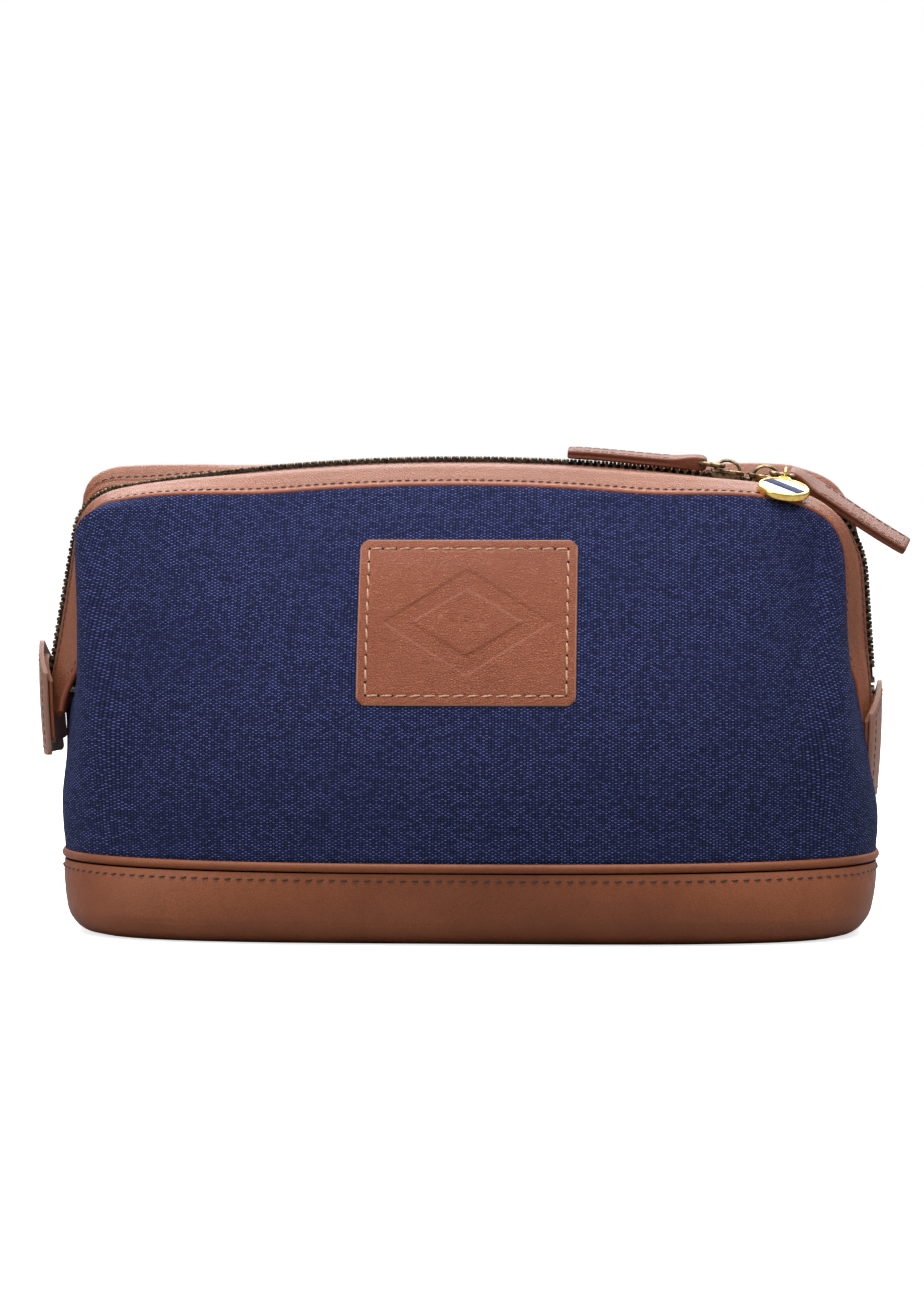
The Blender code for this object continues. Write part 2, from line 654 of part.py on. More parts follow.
def make_charm(matrix, ring_body, charm_body, gold, enamel):
    """Jump ring on the pull's ring, and a medallion with an enamel face.

    Local X runs along the ring's side bar, Y to the back and Z out of the zip line.
    """
    section = circle(JUMP_RING_CENTRE.yz, JUMP_RING_RADIUS, 20)
    loop = [matrix @ Vector((0, y, z)) for y, z in section]
    solid("charm_jump_ring", tube_rings(loop, CHARM_WIRE, 6, True), gold, ring_body, loop=True)

    down = Vector((0, -math.cos(CHARM_SLOPE), -math.sin(CHARM_SLOPE)))
    out = Vector((0, -math.sin(CHARM_SLOPE), math.cos(CHARM_SLOPE)))
    eye_radius = 1.7 * MM
    eye = CHARM_LINK + down * eye_radius
    centre = eye + down * (CHARM_RADIUS + 1.9 * MM)

    def disc(rows, sides=28):
        rings = []
        for radius, height in rows:
            ring = circle((0, 0), radius * MM, sides)
            rings.append([centre + down * a + Vector((b, 0, 0)) + out * height * MM for a, b in ring])
        return placed(rings, matrix)

    rim = CHARM_RADIUS / MM
    rows = [(rim - 0.6, -1.1), (rim, -0.6), (rim, 0.6), (rim - 0.5, 1.1), (rim - 1.2, 1.1), (rim - 1.4, 0.3)]
    medallion = solid("charm_medallion", disc(rows), gold, charm_body)
    ring = [eye + down * a + Vector((b, 0, 0)) for a, b in circle((0, 0), eye_radius, 16)]
    eye_rings = placed(tube_rings(ring, CHARM_WIRE, 6, True), matrix)
    eyelet = solid("charm_eyelet", eye_rings, gold, charm_body, loop=True)
    combine(medallion, eyelet, "UNION")
    rows = [(rim - 1.75, 0.65), (rim - 1.75, 1.05), (rim - 2.6, 1.2)]
    solid("charm_enamel", disc(rows), enamel, charm_body)


def pull_matrices(slider_matrix, towards, tilt):
    """Matrices of the ring, from its bridge bar, and of the pull, from the ring's outer bar."""
    turn = Matrix.Identity(4) if towards > 0 else Matrix.Rotation(math.pi, 4, "Z")
    bar = Matrix.Translation((towards * RING_BAR_X, 0, RING_HEIGHT))
    ring = slider_matrix @ bar @ turn
    pull = ring @ Matrix.Translation((RING_LENGTH, 0, 0)) @ Matrix.Rotation(tilt, 4, "Y")
    return ring, pull


def main():
    clear_scene()
    leather = principled("tan_leather", LEATHER_COLOUR, 0.45)
    canvas = principled("navy_canvas", CANVAS_COLOUR, 0.9)
    lining = principled("lining_cloth", (0.30, 0.26, 0.20), 0.85)
    board = principled("stiffener_board", (0.35, 0.30, 0.24), 0.9)
    tape = principled("zip_tape", (0.07, 0.035, 0.02), 0.85)
    brass = principled("antique_brass", BRASS_COLOUR, 0.35, 1.0)
    steel = principled("spring_steel", (0.45, 0.45, 0.46), 0.35, 1.0)
    gold = principled("polished_gold", (0.85, 0.55, 0.16), 0.2, 1.0)
    enamel = principled("white_enamel", (0.85, 0.84, 0.80), 0.15)

    zip_line = ZipLine()
    pivot = (MOUTH_X, 0, PIVOT_Z)
    hinge_y = BASE_HALF_DEPTH - WALL_FOOT_INSET
    walls = {
        "front": pivot_empty("front_wall_pivot", (0, -hinge_y, WALL_FOOT_Z)),
        "back": pivot_empty("back_wall_pivot", (0, hinge_y, WALL_FOOT_Z)),
    }
    front_frame = pivot_empty("front_frame_pivot", pivot)
    back_frame = pivot_empty("back_frame_pivot", pivot)

    make_base(leather, board, lining)
    make_walls(zip_line, walls, canvas, lining)
    make_patch(zip_line, walls["front"], leather)
    make_frame(zip_line, -1, front_frame, leather, tape, brass, steel)
    make_frame(zip_line, 1, back_frame, leather, tape, brass, steel)
    for side in (-1, 1):
        make_tab(side, leather)
        make_pivot(side, steel)
        make_stop(zip_line, side, brass)

    left = slider_frame(zip_line, SLIDER_LEFT_X)
    arch_centre = (MOUTH_X, 0, ZIP_TOP_Z - ARCH_RADIUS)
    slider_left = pivot_empty("slider_left_pivot", arch_centre, front_frame)
    ring_left, pull_left = pull_matrices(left, -1, PULL_DIP)
    ring_left_pivot = pivot_empty("ring_left_pivot", ring_left.translation, slider_left)
    pull_left_pivot = pivot_empty("pull_left_pivot", pull_left.translation, ring_left_pivot)
    make_slider("slider_left", left, 1, brass, slider_left)
    make_ring("pull_ring_left", ring_left, brass, ring_left_pivot)
    make_pull("leather_pull_left", pull_left, leather, pull_left_pivot)

    right = slider_frame(zip_line, SLIDER_RIGHT_X)
    centre = turning_centre(zip_line.halves[1])
    slider_right = pivot_empty("slider_right_pivot", (MOUTH_X + centre.x, 0, centre.y), front_frame)
    ring_right, pull_right = pull_matrices(right, 1, PULL_DROOP)
    ring_right_pivot = pivot_empty("ring_right_pivot", ring_right.translation, slider_right)
    pull_right_pivot = pivot_empty("pull_right_pivot", pull_right.translation, ring_right_pivot)
    make_slider("slider_right", right, -1, brass, slider_right)
    make_ring("pull_ring_right", ring_right, brass, ring_right_pivot)
    make_pull("leather_pull_right", pull_right, leather, pull_right_pivot)

    charm_place = right @ Matrix.Translation((RING_BAR_X + CHARM_PLACE, 0, 0))
    charm_bar = charm_place @ Vector((0, -RING_HALF_WIDTH, RING_HEIGHT))
    jump_pivot = pivot_empty("charm_ring_pivot", charm_bar, ring_right_pivot)
    charm_pivot = pivot_empty("charm_pivot", charm_place @ CHARM_LINK, jump_pivot)
    make_charm(charm_place, jump_pivot, charm_pivot, gold, enamel)


main()
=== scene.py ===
"""Looks of the shaving kit bag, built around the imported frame.

Metres, +Z up, the front towards -Y. Profiles and sizes of small details are in millimetres.
"""

import json
import math
import random

import bpy
from mathutils import Matrix, Vector, noise


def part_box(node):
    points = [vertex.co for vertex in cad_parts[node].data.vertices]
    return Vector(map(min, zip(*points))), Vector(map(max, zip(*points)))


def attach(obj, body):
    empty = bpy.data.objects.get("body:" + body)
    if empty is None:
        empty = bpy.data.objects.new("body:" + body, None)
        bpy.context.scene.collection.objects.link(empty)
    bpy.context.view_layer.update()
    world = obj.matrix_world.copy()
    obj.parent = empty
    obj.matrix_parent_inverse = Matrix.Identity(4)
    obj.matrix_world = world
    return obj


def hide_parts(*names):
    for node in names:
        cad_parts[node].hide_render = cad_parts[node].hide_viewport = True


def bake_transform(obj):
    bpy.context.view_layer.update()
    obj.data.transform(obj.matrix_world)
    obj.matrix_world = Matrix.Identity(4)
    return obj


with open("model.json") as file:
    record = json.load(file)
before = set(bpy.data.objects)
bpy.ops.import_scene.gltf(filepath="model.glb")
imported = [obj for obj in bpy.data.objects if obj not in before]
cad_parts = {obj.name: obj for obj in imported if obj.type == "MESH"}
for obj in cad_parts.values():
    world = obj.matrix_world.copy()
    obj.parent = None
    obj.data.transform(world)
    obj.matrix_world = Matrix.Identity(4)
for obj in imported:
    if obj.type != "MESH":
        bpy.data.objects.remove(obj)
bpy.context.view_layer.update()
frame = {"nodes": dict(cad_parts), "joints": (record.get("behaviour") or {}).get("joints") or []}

MM = 0.001
JOINTS = {joint["name"]: joint for joint in frame["joints"]}
PLACE = {-1: "front", 1: "back"}
END = {-1: "left", 1: "right"}


def joint_point(name):
    return Vector(JOINTS[name]["pos_m"])


# Sizes read from the frame
PIVOT = joint_point("front_frame_open")
MOUTH_X = PIVOT.x
ARCH_CENTRE = joint_point("slider_left_travel")
PIPING_LOW, PIPING_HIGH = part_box("base_piping")
HALF_WIDTH, HALF_DEPTH = PIPING_HIGH.x, PIPING_HIGH.y
PIPING_RADIUS = (PIPING_HIGH.z - PIPING_LOW.z) / 2
PIPING_Z = (PIPING_HIGH.z + PIPING_LOW.z) / 2
WALL_FOOT_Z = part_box("canvas_front")[0].z
WALL_FOOT_INSET = HALF_DEPTH - abs(joint_point("front_wall_lean").y)
COIL_RADIUS = 1.15 * MM
ZIP_TOP_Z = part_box("zip_coil_front")[1].z - COIL_RADIUS
ARCH_RADIUS = ZIP_TOP_Z - ARCH_CENTRE.z
PATCH_LOW, PATCH_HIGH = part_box("leather_patch")

# The outline and the frame, as the CAD has them
TOP_POWER, SOLE_POWER = 2.5, 3.6
CORNER_RADIUS = {-1: 16 * MM, 1: 30 * MM}
END_FLARE = {-1: math.radians(10), 1: math.radians(4)}
ZIP_HALF_WIDTH = 131 * MM
WALL_CONTROL_SHARE = 0.58
FOOT_SHARE = 0.9  # where the mouth edge leaves the zip and turns to the end seam
SEAM_TOP = Vector((125 * MM, 0, 68 * MM))
STRIP_TOP = [(4.4, 1.0), (4.6, 0.4), (8.0, 0.8), (12.0, 1.9), (16.0, 4.0), (20.7, 6.9)]
STRIP_SIDE = [(4.4, 1.2), (4.6, 0.5), (6.6, 2.4), (8.6, 4.7), (10.4, 7.0), (12.8, 9.8)]
STRIP_INNER, STRIP_THICKNESS = STRIP_TOP[1][0], 1.2
# The tape, with the cord that the teeth clasp
TAPE_TOP = [(0.1, -0.7), (1.7, -0.6), (2.7, 0.8), (3.4, 2.2), (8.4, 3.2)]
TAPE_SIDE = [(0.1, -0.7), (1.7, -0.6), (2.6, 0.8), (3.0, 2.2), (5.0, 3.5)]
MOUTH_PIPING_TOP, MOUTH_PIPING_SIDE, MOUTH_PIPING_RADIUS = (21.3, 7.5), (13.4, 10.4), 1.1 * MM
EDGE_TOP, EDGE_SIDE = (22.0, 8.2), (14.4, 10.9)
WIRE_TOP, WIRE_SIDE = (12.5, 6.2), (5.0, 7.4)
# The canvas pushes the outer edge of the mouth up towards and round the corners, in millimetres
CORNER_LIFT, LIFT_START, LIFT_FULL, LIFT_FALL = 3.5, 55 * MM, 100 * MM, 32 * MM
EAR_LIFT, EAR_WIDTH = 2.0, 13 * MM
FOOT_LIFT, FOOT_LIFT_LENGTH = {-1: 0.0, 1: 4.5}, 22 * MM
# The back strip stands up behind the zip at the corners: height, and place and width across the strip
BACK_RIDGE, RIDGE_PLACE, RIDGE_WIDTH = 7.2, (10.0, 7.5), 4.2
# The strips narrow where they run in under the tabs
FOOT_TAPER = {-1: 0.6, 1: 0.8}
TAPER_LEAD, TAPER_LENGTH = 16 * MM, 20 * MM
RING_BAR_X, RING_HEIGHT, RING_LENGTH, RING_HALF_WIDTH = 1.5 * MM, 3.75 * MM, 7.4 * MM, 3.8 * MM
PULL_DIP, PULL_DROOP = math.radians(4), math.radians(22)
PULL_LENGTH = 42  # millimetres, like the pull's stations
CHARM_SLOPE = math.radians(17.5)

# Heights between base and frame where the walls and the strips bend as the frame opens; here they only mark a
# piece as bending, and nothing is bent
WALL_BEND = (0.030, 0.072)
LINING_BEND = (0.024, 0.060)  # lower, so that the lining's fold stays inside the canvas's
STRIP_BEND = (0.050, 0.078)
STITCH_PITCH, STITCH_RADIUS, FINE_STITCH_RADIUS = 2.6 * MM, 0.24 * MM, 0.2 * MM
BASE_STITCH_PITCH = 3.65 * MM


# ---------------------------------------------------------------- small maths


def mix(a, b, share):
    return a + (b - a) * share


def smooth_share(value):
    value = min(max(value, 0.0), 1.0)
    return value * value * (3 - 2 * value)


def bell(value, centre, width):
    return math.exp(-(((value - centre) / width) ** 2))


def circle(centre, radius, sides, turn=0.0):
    angles = [2 * math.pi * i / sides + turn for i in range(sides)]
    return [(centre[0] + radius * math.cos(a), centre[1] + radius * math.sin(a)) for a in angles]


def curve_through(points, steps):
    """Smooth open line through points, with a number of steps between neighbours."""
    points = [Vector(p) for p in points]
    ends = [2 * points[0] - points[1]] + points + [2 * points[-1] - points[-2]]
    line = []
    for a, b, c, d in zip(ends, ends[1:], ends[2:], ends[3:]):
        for i in range(steps):
            t = i / steps
            bend = (2 * a - 5 * b + 4 * c - d) * t * t + (3 * b - a - 3 * c + d) * t * t * t
            line.append((2 * b + (c - a) * t + bend) / 2)
    return line + [points[-1]]


def normals_2d(line):
    """Left-hand normals of an open 2D line."""
    found = []
    for i in range(len(line)):
        along = line[min(i + 1, len(line) - 1)] - line[max(i - 1, 0)]
        along.normalize()
        found.append(Vector((-along.y, along.x)))
    return found


def band_profile(line, thickness, edge_steps=3):
    """Closed outline of a band with round edges, on the left of its line."""
    normals = normals_2d(line)
    inner = [point + normal * thickness for point, normal in zip(line, normals)]
    outline = list(line)
    for outside, inside in ((line[-1], inner[-1]), (inner[0], line[0])):
        centre, arm = (outside + inside) / 2, (outside - inside) / 2
        across = Vector((arm.y, -arm.x))
        for i in range(1, edge_steps + 1):
            angle = math.pi * i / (edge_steps + 1)
            outline.append(centre + arm * math.cos(angle) - across * math.sin(angle))
        if outside is line[-1]:
            outline += inner[::-1]
    return outline


def ripple(point, size, seed=0.0):
    """Smooth noise between -1 and 1 over a length in millimetres."""
    return noise.noise(Vector(point) / (size * MM) + Vector((seed, seed * 1.7, -seed)))


# ---------------------------------------------------------------- meshes


def new_object(name, vertices, faces, material, uvs=None, sharp=50):
    """A shaded mesh object. The UVs are given for each corner of each face."""
    mesh = bpy.data.meshes.new(name)
    mesh.from_pydata([tuple(v) for v in vertices], [], faces)
    if uvs:
        layer = mesh.uv_layers.new(name="UVMap")
        layer.data.foreach_set("uv", [value for pair in uvs for value in pair])
    mesh.materials.append(material)
    mesh.validate()
    mesh.shade_smooth()
    mesh.set_sharp_from_angle(angle=math.radians(sharp))
    obj = bpy.data.objects.new(name, mesh)
    bpy.context.collection.objects.link(obj)
    return obj


def running_lengths(points, closed=False):
    lengths = [0.0]
    following = points[1:] + points[:1] if closed else points[1:]
    for a, b in zip(points, following):
        lengths.append(lengths[-1] + (b - a).length / MM)
    return lengths


def skin(name, rings, material, loop=False, closed=True, uv_grid=None, sharp=50):
    """Surface over rings of points: closed rings make a tube, and a loop joins the last to the first.

    Without a UV grid, U runs along the rings and V around them, in millimetres.
    """
    count = len(rings[0])
    vertices = [point for ring in rings for point in ring]
    last = len(rings) if loop else len(rings) - 1
    around = count if closed else count - 1
    if uv_grid is None:
        widest = max(rings, key=lambda ring: (ring[0] - ring[count // 2]).length)
        v_values = running_lengths(widest, closed)
        u_values = running_lengths([ring[0] for ring in rings], loop)
        uv_grid = [[(u, v) for v in v_values] for u in u_values]
    faces, uvs = [], []
    for i in range(last):
        row, after = i * count, (i + 1) % len(rings) * count
        for j in range(around):
            k = (j + 1) % count
            faces.append((row + j, row + k, after + k, after + j))
            uvs += [uv_grid[i][j], uv_grid[i][j + 1], uv_grid[i + 1][j + 1], uv_grid[i + 1][j]]
    if closed and not loop:
        faces.append(tuple(range(count))[::-1])
        faces.append(tuple(range((len(rings) - 1) * count, len(rings) * count)))
        uvs += [uv_grid[0][j] for j in range(count)][::-1] + [uv_grid[-1][j] for j in range(count)]
    return new_object(name, vertices, faces, material, uvs, sharp)


def tube_faces(rings, count):
    """Faces of a capped tube over a number of rings, each with the same count of points."""
    faces = []
    for i in range(rings - 1):
        for j in range(count):
            k = (j + 1) % count
            faces.append((i * count + j, i * count + k, (i + 1) * count + k, (i + 1) * count + j))
    return faces + [tuple(range(count))[::-1], tuple(range((rings - 1) * count, rings * count))]


def faces_inwards(points, faces):
    """True where the volume inside closed faces comes out negative."""
    volume = 0.0
    for face in faces:
        corners = [points[v] for v in face]
        for b, c in zip(corners[1:], corners[2:]):
            volume += corners[0].dot(b.cross(c))
    return volume < 0


def outwards(obj):
    """Turns the faces of a closed mesh outwards."""
    mesh = obj.data
    points = [vertex.co for vertex in mesh.vertices]
    if faces_inwards(points, [face.vertices for face in mesh.polygons]):
        mesh.flip_normals()
    return obj


def tube_rings(points, radius, sides, loop=False):
    """Rings of a round wire along points, with the frame carried along the path."""
    points = [Vector(p) for p in points]
    count = len(points)
    tangents = []
    for i in range(count):
        before = points[i - 1] if loop or i else points[0]
        after = points[(i + 1) % count] if loop or i < count - 1 else points[-1]
        tangents.append((after - before).normalized())
    normal = tangents[0].orthogonal().normalized()
    rings = []
    for point, tangent in zip(points, tangents):
        normal = (normal - tangent * normal.dot(tangent)).normalized()
        side = tangent.cross(normal)
        section = circle((0, 0), radius, sides)
        rings.append([point + normal * y + side * z for y, z in section])
    return rings


def placed(rings, matrix):
    return [[matrix @ Vector(point) for point in ring] for ring in rings]


def solid(name, rings, material, loop=False, sharp=50):
    return outwards(skin(name, rings, material, loop=loop, sharp=sharp))


def joined(name, parts, material, sharp=50):
    """One object from (vertices, faces) parts."""
    vertices, faces = [], []
    for points, sides in parts:
        start = len(vertices)
        vertices += points
        faces += [tuple(start + v for v in side) for side in sides]
    return new_object(name, vertices, faces, material, None, sharp)


# ---------------------------------------------------------------- stitches


def along_path(points, normals, distance, lengths):
    """(point, tangent, normal) at a distance along a path."""
    low, high = 0, len(lengths) - 1
    while high - low > 1:
        middle = (low + high) // 2
        if lengths[middle] <= distance:
            low = middle
        else:
            high = middle
    span = max(lengths[high] - lengths[low], 1e-9)
    share = (distance - lengths[low]) / span
    tangent = (points[high] - points[low]).normalized()
    normal = normals[low].lerp(normals[high], share).normalized()
    return points[low].lerp(points[high], share), tangent, normal


def stitch_part(point, tangent, normal, length, radius, tilt, rise):
    """One thread lying on the leather and diving into it at both ends."""
    side = normal.cross(tangent).normalized()
    run = (tangent + side * tilt).normalized()
    across = normal.cross(run).normalized()
    vertices = []
    sides = 6
    shape = [(-0.5, 0.45, -0.9), (-0.38, 0.85, 0.1), (-0.15, 1.0, 0.6), (0.15, 1.0, 0.6)]
    shape += [(0.38, 0.85, 0.1), (0.5, 0.45, -0.9)]
    for position, size, height in shape:
        centre = point + run * position * length + normal * height * radius * rise
        for y, z in circle((0, 0), radius * size, sides):
            vertices.append(centre + across * y + normal * z)
    return vertices, tube_faces(len(shape), sides)


def stitch_row(
    name, paths, material, pitch=STITCH_PITCH, share=0.74, radius=STITCH_RADIUS, tilt=0.12, rise=1.0
):
    """Stitches along one or more (points, normals) paths, as one object."""
    chance = random.Random(name)
    parts = []
    for points, normals in paths:
        lengths = [length * MM for length in running_lengths(points)]
        count = max(int(lengths[-1] / pitch), 1)
        step = lengths[-1] / count
        for i in range(count):
            place = along_path(points, normals, (i + 0.5) * step, lengths)
            lean = tilt + chance.uniform(-0.05, 0.05)
            parts.append(stitch_part(*place, step * share, radius, lean, rise))
    return joined(name, parts, material)


# ---------------------------------------------------------------- materials


def new_material(name, roughness, metallic=0.0, **values):
    """(material, node tree, Principled shader) with constant values set on the shader."""
    material = bpy.data.materials.new(name)
    material.use_nodes = True
    tree = material.node_tree
    shader = tree.nodes["Principled BSDF"]
    shader.inputs["Roughness"].default_value = roughness
    shader.inputs["Metallic"].default_value = metallic
    for key, value in values.items():
        shader.inputs[key.replace("_", " ")].default_value = value
    return material, tree, shader


def fill(tree, socket, value):
    if isinstance(value, bpy.types.NodeSocket):
        tree.links.new(value, socket)
    elif isinstance(value, tuple) and len(value) == 3 and len(socket.default_value) == 4:
        socket.default_value = (*value, 1)
    else:
        socket.default_value = value


def calc(tree, operation, a, b=0.0, c=0.0):
    node = tree.nodes.new("ShaderNodeMath")
    node.operation = operation
    for socket, value in zip(node.inputs, (a, b, c)):
        fill(tree, socket, value)
    return node.outputs[0]


def colour_mix(tree, share, a, b):
    node = tree.nodes.new("ShaderNodeMix")
    node.data_type = "RGBA"
    fill(tree, node.inputs["Factor"], share)
    fill(tree, node.inputs[6], a)
    fill(tree, node.inputs[7], b)
    return node.outputs[2]


def span(tree, value, low, high, to_low=0.0, to_high=1.0):
    node = tree.nodes.new("ShaderNodeMapRange")
    node.interpolation_type = "SMOOTHSTEP"
    for socket, number in zip(node.inputs[1:5], (low, high, to_low, to_high)):
        socket.default_value = number
    fill(tree, node.inputs[0], value)
    return node.outputs[0]


def coordinates(tree, scale=(1, 1, 1), uv=False):
    """Position in millimetres, stretched by a scale."""
    source = tree.nodes.new("ShaderNodeTexCoord")
    mapping = tree.nodes.new("ShaderNodeMapping")
    unit = 1 if uv else 1 / MM
    mapping.inputs["Scale"].default_value = [s * unit for s in scale]
    tree.links.new(source.outputs["UV" if uv else "Object"], mapping.inputs["Vector"])
    return mapping.outputs[0]


def clouds(tree, vector, size, detail=3.0, rough=0.5):
    """Noise with features of a size in millimetres."""
    node = tree.nodes.new("ShaderNodeTexNoise")
    tree.links.new(vector, node.inputs["Vector"])
    node.inputs["Scale"].default_value = 1 / size
    node.inputs["Detail"].default_value = detail
    node.inputs["Roughness"].default_value = rough
    return node.outputs["Fac"]


def cells(tree, vector, size):
    """Distance from the walls of cells of a size in millimetres."""
    node = tree.nodes.new("ShaderNodeTexVoronoi")
    node.feature = "DISTANCE_TO_EDGE"
    tree.links.new(vector, node.inputs["Vector"])
    node.inputs["Scale"].default_value = 1 / size
    return node.outputs["Distance"]


def bump(tree, shader, height, depth):
    """Bump of a height between 0 and 1, over a depth in millimetres."""
    node = tree.nodes.new("ShaderNodeBump")
    node.inputs["Strength"].default_value = 1.0
    node.inputs["Distance"].default_value = depth * MM
    tree.links.new(height, node.inputs["Height"])
    tree.links.new(node.outputs[0], shader.inputs["Normal"])


def plain_weave(tree, u, v, warp_pitch, weft_pitch):
    """(height, warp share, weft share) of a plain weave over U and V in millimetres."""
    across = calc(tree, "SINE", calc(tree, "MULTIPLY", u, math.pi / warp_pitch))
    up = calc(tree, "SINE", calc(tree, "MULTIPLY", v, math.pi / weft_pitch))
    over = calc(tree, "MULTIPLY_ADD", calc(tree, "MULTIPLY", across, up), 0.5, 0.5)
    under = calc(tree, "SUBTRACT", 1.0, over)
    warp = calc(tree, "MULTIPLY", calc(tree, "POWER", calc(tree, "ABSOLUTE", across), 0.7), over)
    weft = calc(tree, "MULTIPLY", calc(tree, "POWER", calc(tree, "ABSOLUTE", up), 0.7), under)
    return calc(tree, "MAXIMUM", warp, weft), warp, weft


def uv_lengths(tree, wobble, size):
    """U and V in millimetres, with threads that wander a little."""
    vector = coordinates(tree, uv=True)
    split = tree.nodes.new("ShaderNodeSeparateXYZ")
    tree.links.new(vector, split.inputs[0])
    drift = calc(tree, "MULTIPLY_ADD", clouds(tree, vector, size), wobble, -wobble / 2)
    turned = clouds(tree, coordinates(tree, (1.3, 0.8, 1), uv=True), size * 1.4)
    lift = calc(tree, "MULTIPLY_ADD", turned, wobble, -wobble / 2)
    u = calc(tree, "ADD", split.outputs[0], drift)
    return u, calc(tree, "ADD", split.outputs[1], lift)


def thread_chance(tree, u, v, warp_pitch, weft_pitch):
    """A random number for each crossing of two threads."""
    whole = [calc(tree, "FLOOR", calc(tree, "DIVIDE", value, pitch)) for value, pitch in
             ((u, warp_pitch), (v, weft_pitch))]
    place = tree.nodes.new("ShaderNodeCombineXYZ")
    for socket, value in zip(place.inputs, whole):
        fill(tree, socket, value)
    node = tree.nodes.new("ShaderNodeTexWhiteNoise")
    tree.links.new(place.outputs[0], node.inputs["Vector"])
    return node.outputs["Value"]


def woven_material(name, dark, warp_colour, weft_colour, pitch, depth, roughness, wobble=0.5):
    """Woven cloth whose threads are drawn in its UVs, in millimetres."""
    material, tree, shader = new_material(name, roughness, Specular_IOR_Level=0.15)
    u, v = uv_lengths(tree, wobble, 9)
    height, warp, weft = plain_weave(tree, u, v, *pitch)
    chance = thread_chance(tree, u, v, *pitch)
    slub = clouds(tree, coordinates(tree, (0.12, 1.6, 1), uv=True), 1.2, 2.0)
    worn = clouds(tree, coordinates(tree, uv=True), 38, 4.0)
    warp_share = span(tree, warp, 0.25, 0.95)
    weft_share = calc(tree, "MULTIPLY", span(tree, weft, 0.3, 0.95), span(tree, slub, 0.3, 0.7, 0.7, 1.1))
    weft_share = calc(tree, "MULTIPLY", weft_share, span(tree, chance, 0.0, 1.0, 0.35, 1.3))
    colour = colour_mix(tree, warp_share, dark, warp_colour)
    colour = colour_mix(tree, weft_share, colour, weft_colour)
    shade = tuple(c * 0.62 for c in warp_colour)
    colour = colour_mix(tree, span(tree, worn, 0.45, 0.75, 0.0, 0.3), colour, shade)
    tree.links.new(colour, shader.inputs["Base Color"])
    rough = calc(tree, "MULTIPLY_ADD", slub, 0.2, roughness - 0.1)
    tree.links.new(rough, shader.inputs["Roughness"])
    bump(tree, shader, calc(tree, "MULTIPLY_ADD", chance, 0.2, height), depth)
    return material


def leather_material(name, colour, shade, grain, depth, roughness, coat=0.12, streak=0.5):
    """Tanned leather: pebbled grain, fine pores, soft creases and clouded colour."""
    material, tree, shader = new_material(
        name, roughness, Coat_Weight=coat, Coat_Roughness=0.28, Specular_IOR_Level=0.3
    )
    place = coordinates(tree)
    cloud = clouds(tree, place, 26, 4.0)
    mottle = clouds(tree, place, 4.5, 3.0)
    pores = cells(tree, place, grain)
    pebble = span(tree, pores, 0.0, 0.32)
    fine = clouds(tree, place, grain * 0.35, 2.0)
    crease = clouds(tree, coordinates(tree, (0.35, 1.5, 1.5)), 3.2, 5.0, 0.62)
    fold = span(tree, calc(tree, "ABSOLUTE", calc(tree, "SUBTRACT", crease, 0.5)), 0.0, 0.06)
    base = colour_mix(tree, span(tree, cloud, 0.35, 0.7, 0.0, streak), colour, shade)
    base = colour_mix(tree, span(tree, mottle, 0.5, 0.75, 0.0, 0.28), base, shade)
    dark = tuple(c * 0.55 for c in shade)
    base = colour_mix(tree, span(tree, pebble, 0.0, 0.8, 0.3, 0.0), base, dark)
    tree.links.new(base, shader.inputs["Base Color"])
    rough = calc(tree, "MULTIPLY_ADD", mottle, 0.22, roughness - 0.11)
    tree.links.new(rough, shader.inputs["Roughness"])
    height = calc(tree, "MULTIPLY_ADD", fine, 0.35, pebble)
    height = calc(tree, "MULTIPLY_ADD", fold, 0.35, height)
    bump(tree, shader, height, depth)
    return material


def thread_material(name, colour):
    """Sewing thread, with fine fibres along it."""
    material, tree, shader = new_material(name, 0.6, Sheen_Weight=0.2)
    place = coordinates(tree)
    fibre = clouds(tree, place, 0.5, 2.0)
    tone = clouds(tree, place, 6, 2.0)
    base = colour_mix(tree, span(tree, fibre, 0.35, 0.65), tuple(c * 0.55 for c in colour), colour)
    base = colour_mix(tree, span(tree, tone, 0.4, 0.8, 0.0, 0.4), base, tuple(c * 0.6 for c in colour))
    tree.links.new(base, shader.inputs["Base Color"])
    bump(tree, shader, fibre, 0.08)
    return material


def metal_material(name, colour, tarnish, roughness, wear=0.5, scratch=0.03):
    """Plated or drawn metal with cloudy tarnish and fine scratches."""
    material, tree, shader = new_material(name, roughness, 1.0)
    place = coordinates(tree)
    cloud = clouds(tree, place, 1.6, 4.0)
    lines = clouds(tree, coordinates(tree, (0.25, 3, 3)), 0.4, 3.0)
    base = colour_mix(tree, span(tree, cloud, 0.38, 0.38 + wear * 0.5), tarnish, colour)
    tree.links.new(base, shader.inputs["Base Color"])
    rough = calc(tree, "MULTIPLY_ADD", lines, 0.25, roughness - 0.12)
    tree.links.new(rough, shader.inputs["Roughness"])
    bump(tree, shader, lines, scratch)
    return material


def board_material(name):
    material, tree, shader = new_material(name, 0.9)
    fibre = clouds(tree, coordinates(tree, (0.4, 1, 1)), 0.8, 4.0)
    base = colour_mix(tree, fibre, (0.30, 0.25, 0.19), (0.46, 0.40, 0.32))
    tree.links.new(base, shader.inputs["Base Color"])
    bump(tree, shader, fibre, 0.1)
    return material


def enamel_material(name, colour, gloss):
    """Hard enamel with a faintly uneven poured surface."""
    material, tree, shader = new_material(name, 0.12 + 0.4 * (1 - gloss), Coat_Weight=0.6 * gloss,
                                          Coat_Roughness=0.04, Specular_IOR_Level=0.1 + 0.4 * gloss)
    pour = clouds(tree, coordinates(tree), 2.4, 2.0)
    base = colour_mix(tree, span(tree, pour, 0.35, 0.7), colour, tuple(c * 0.9 for c in colour))
    tree.links.new(base, shader.inputs["Base Color"])
    bump(tree, shader, pour, 0.05)
    return material


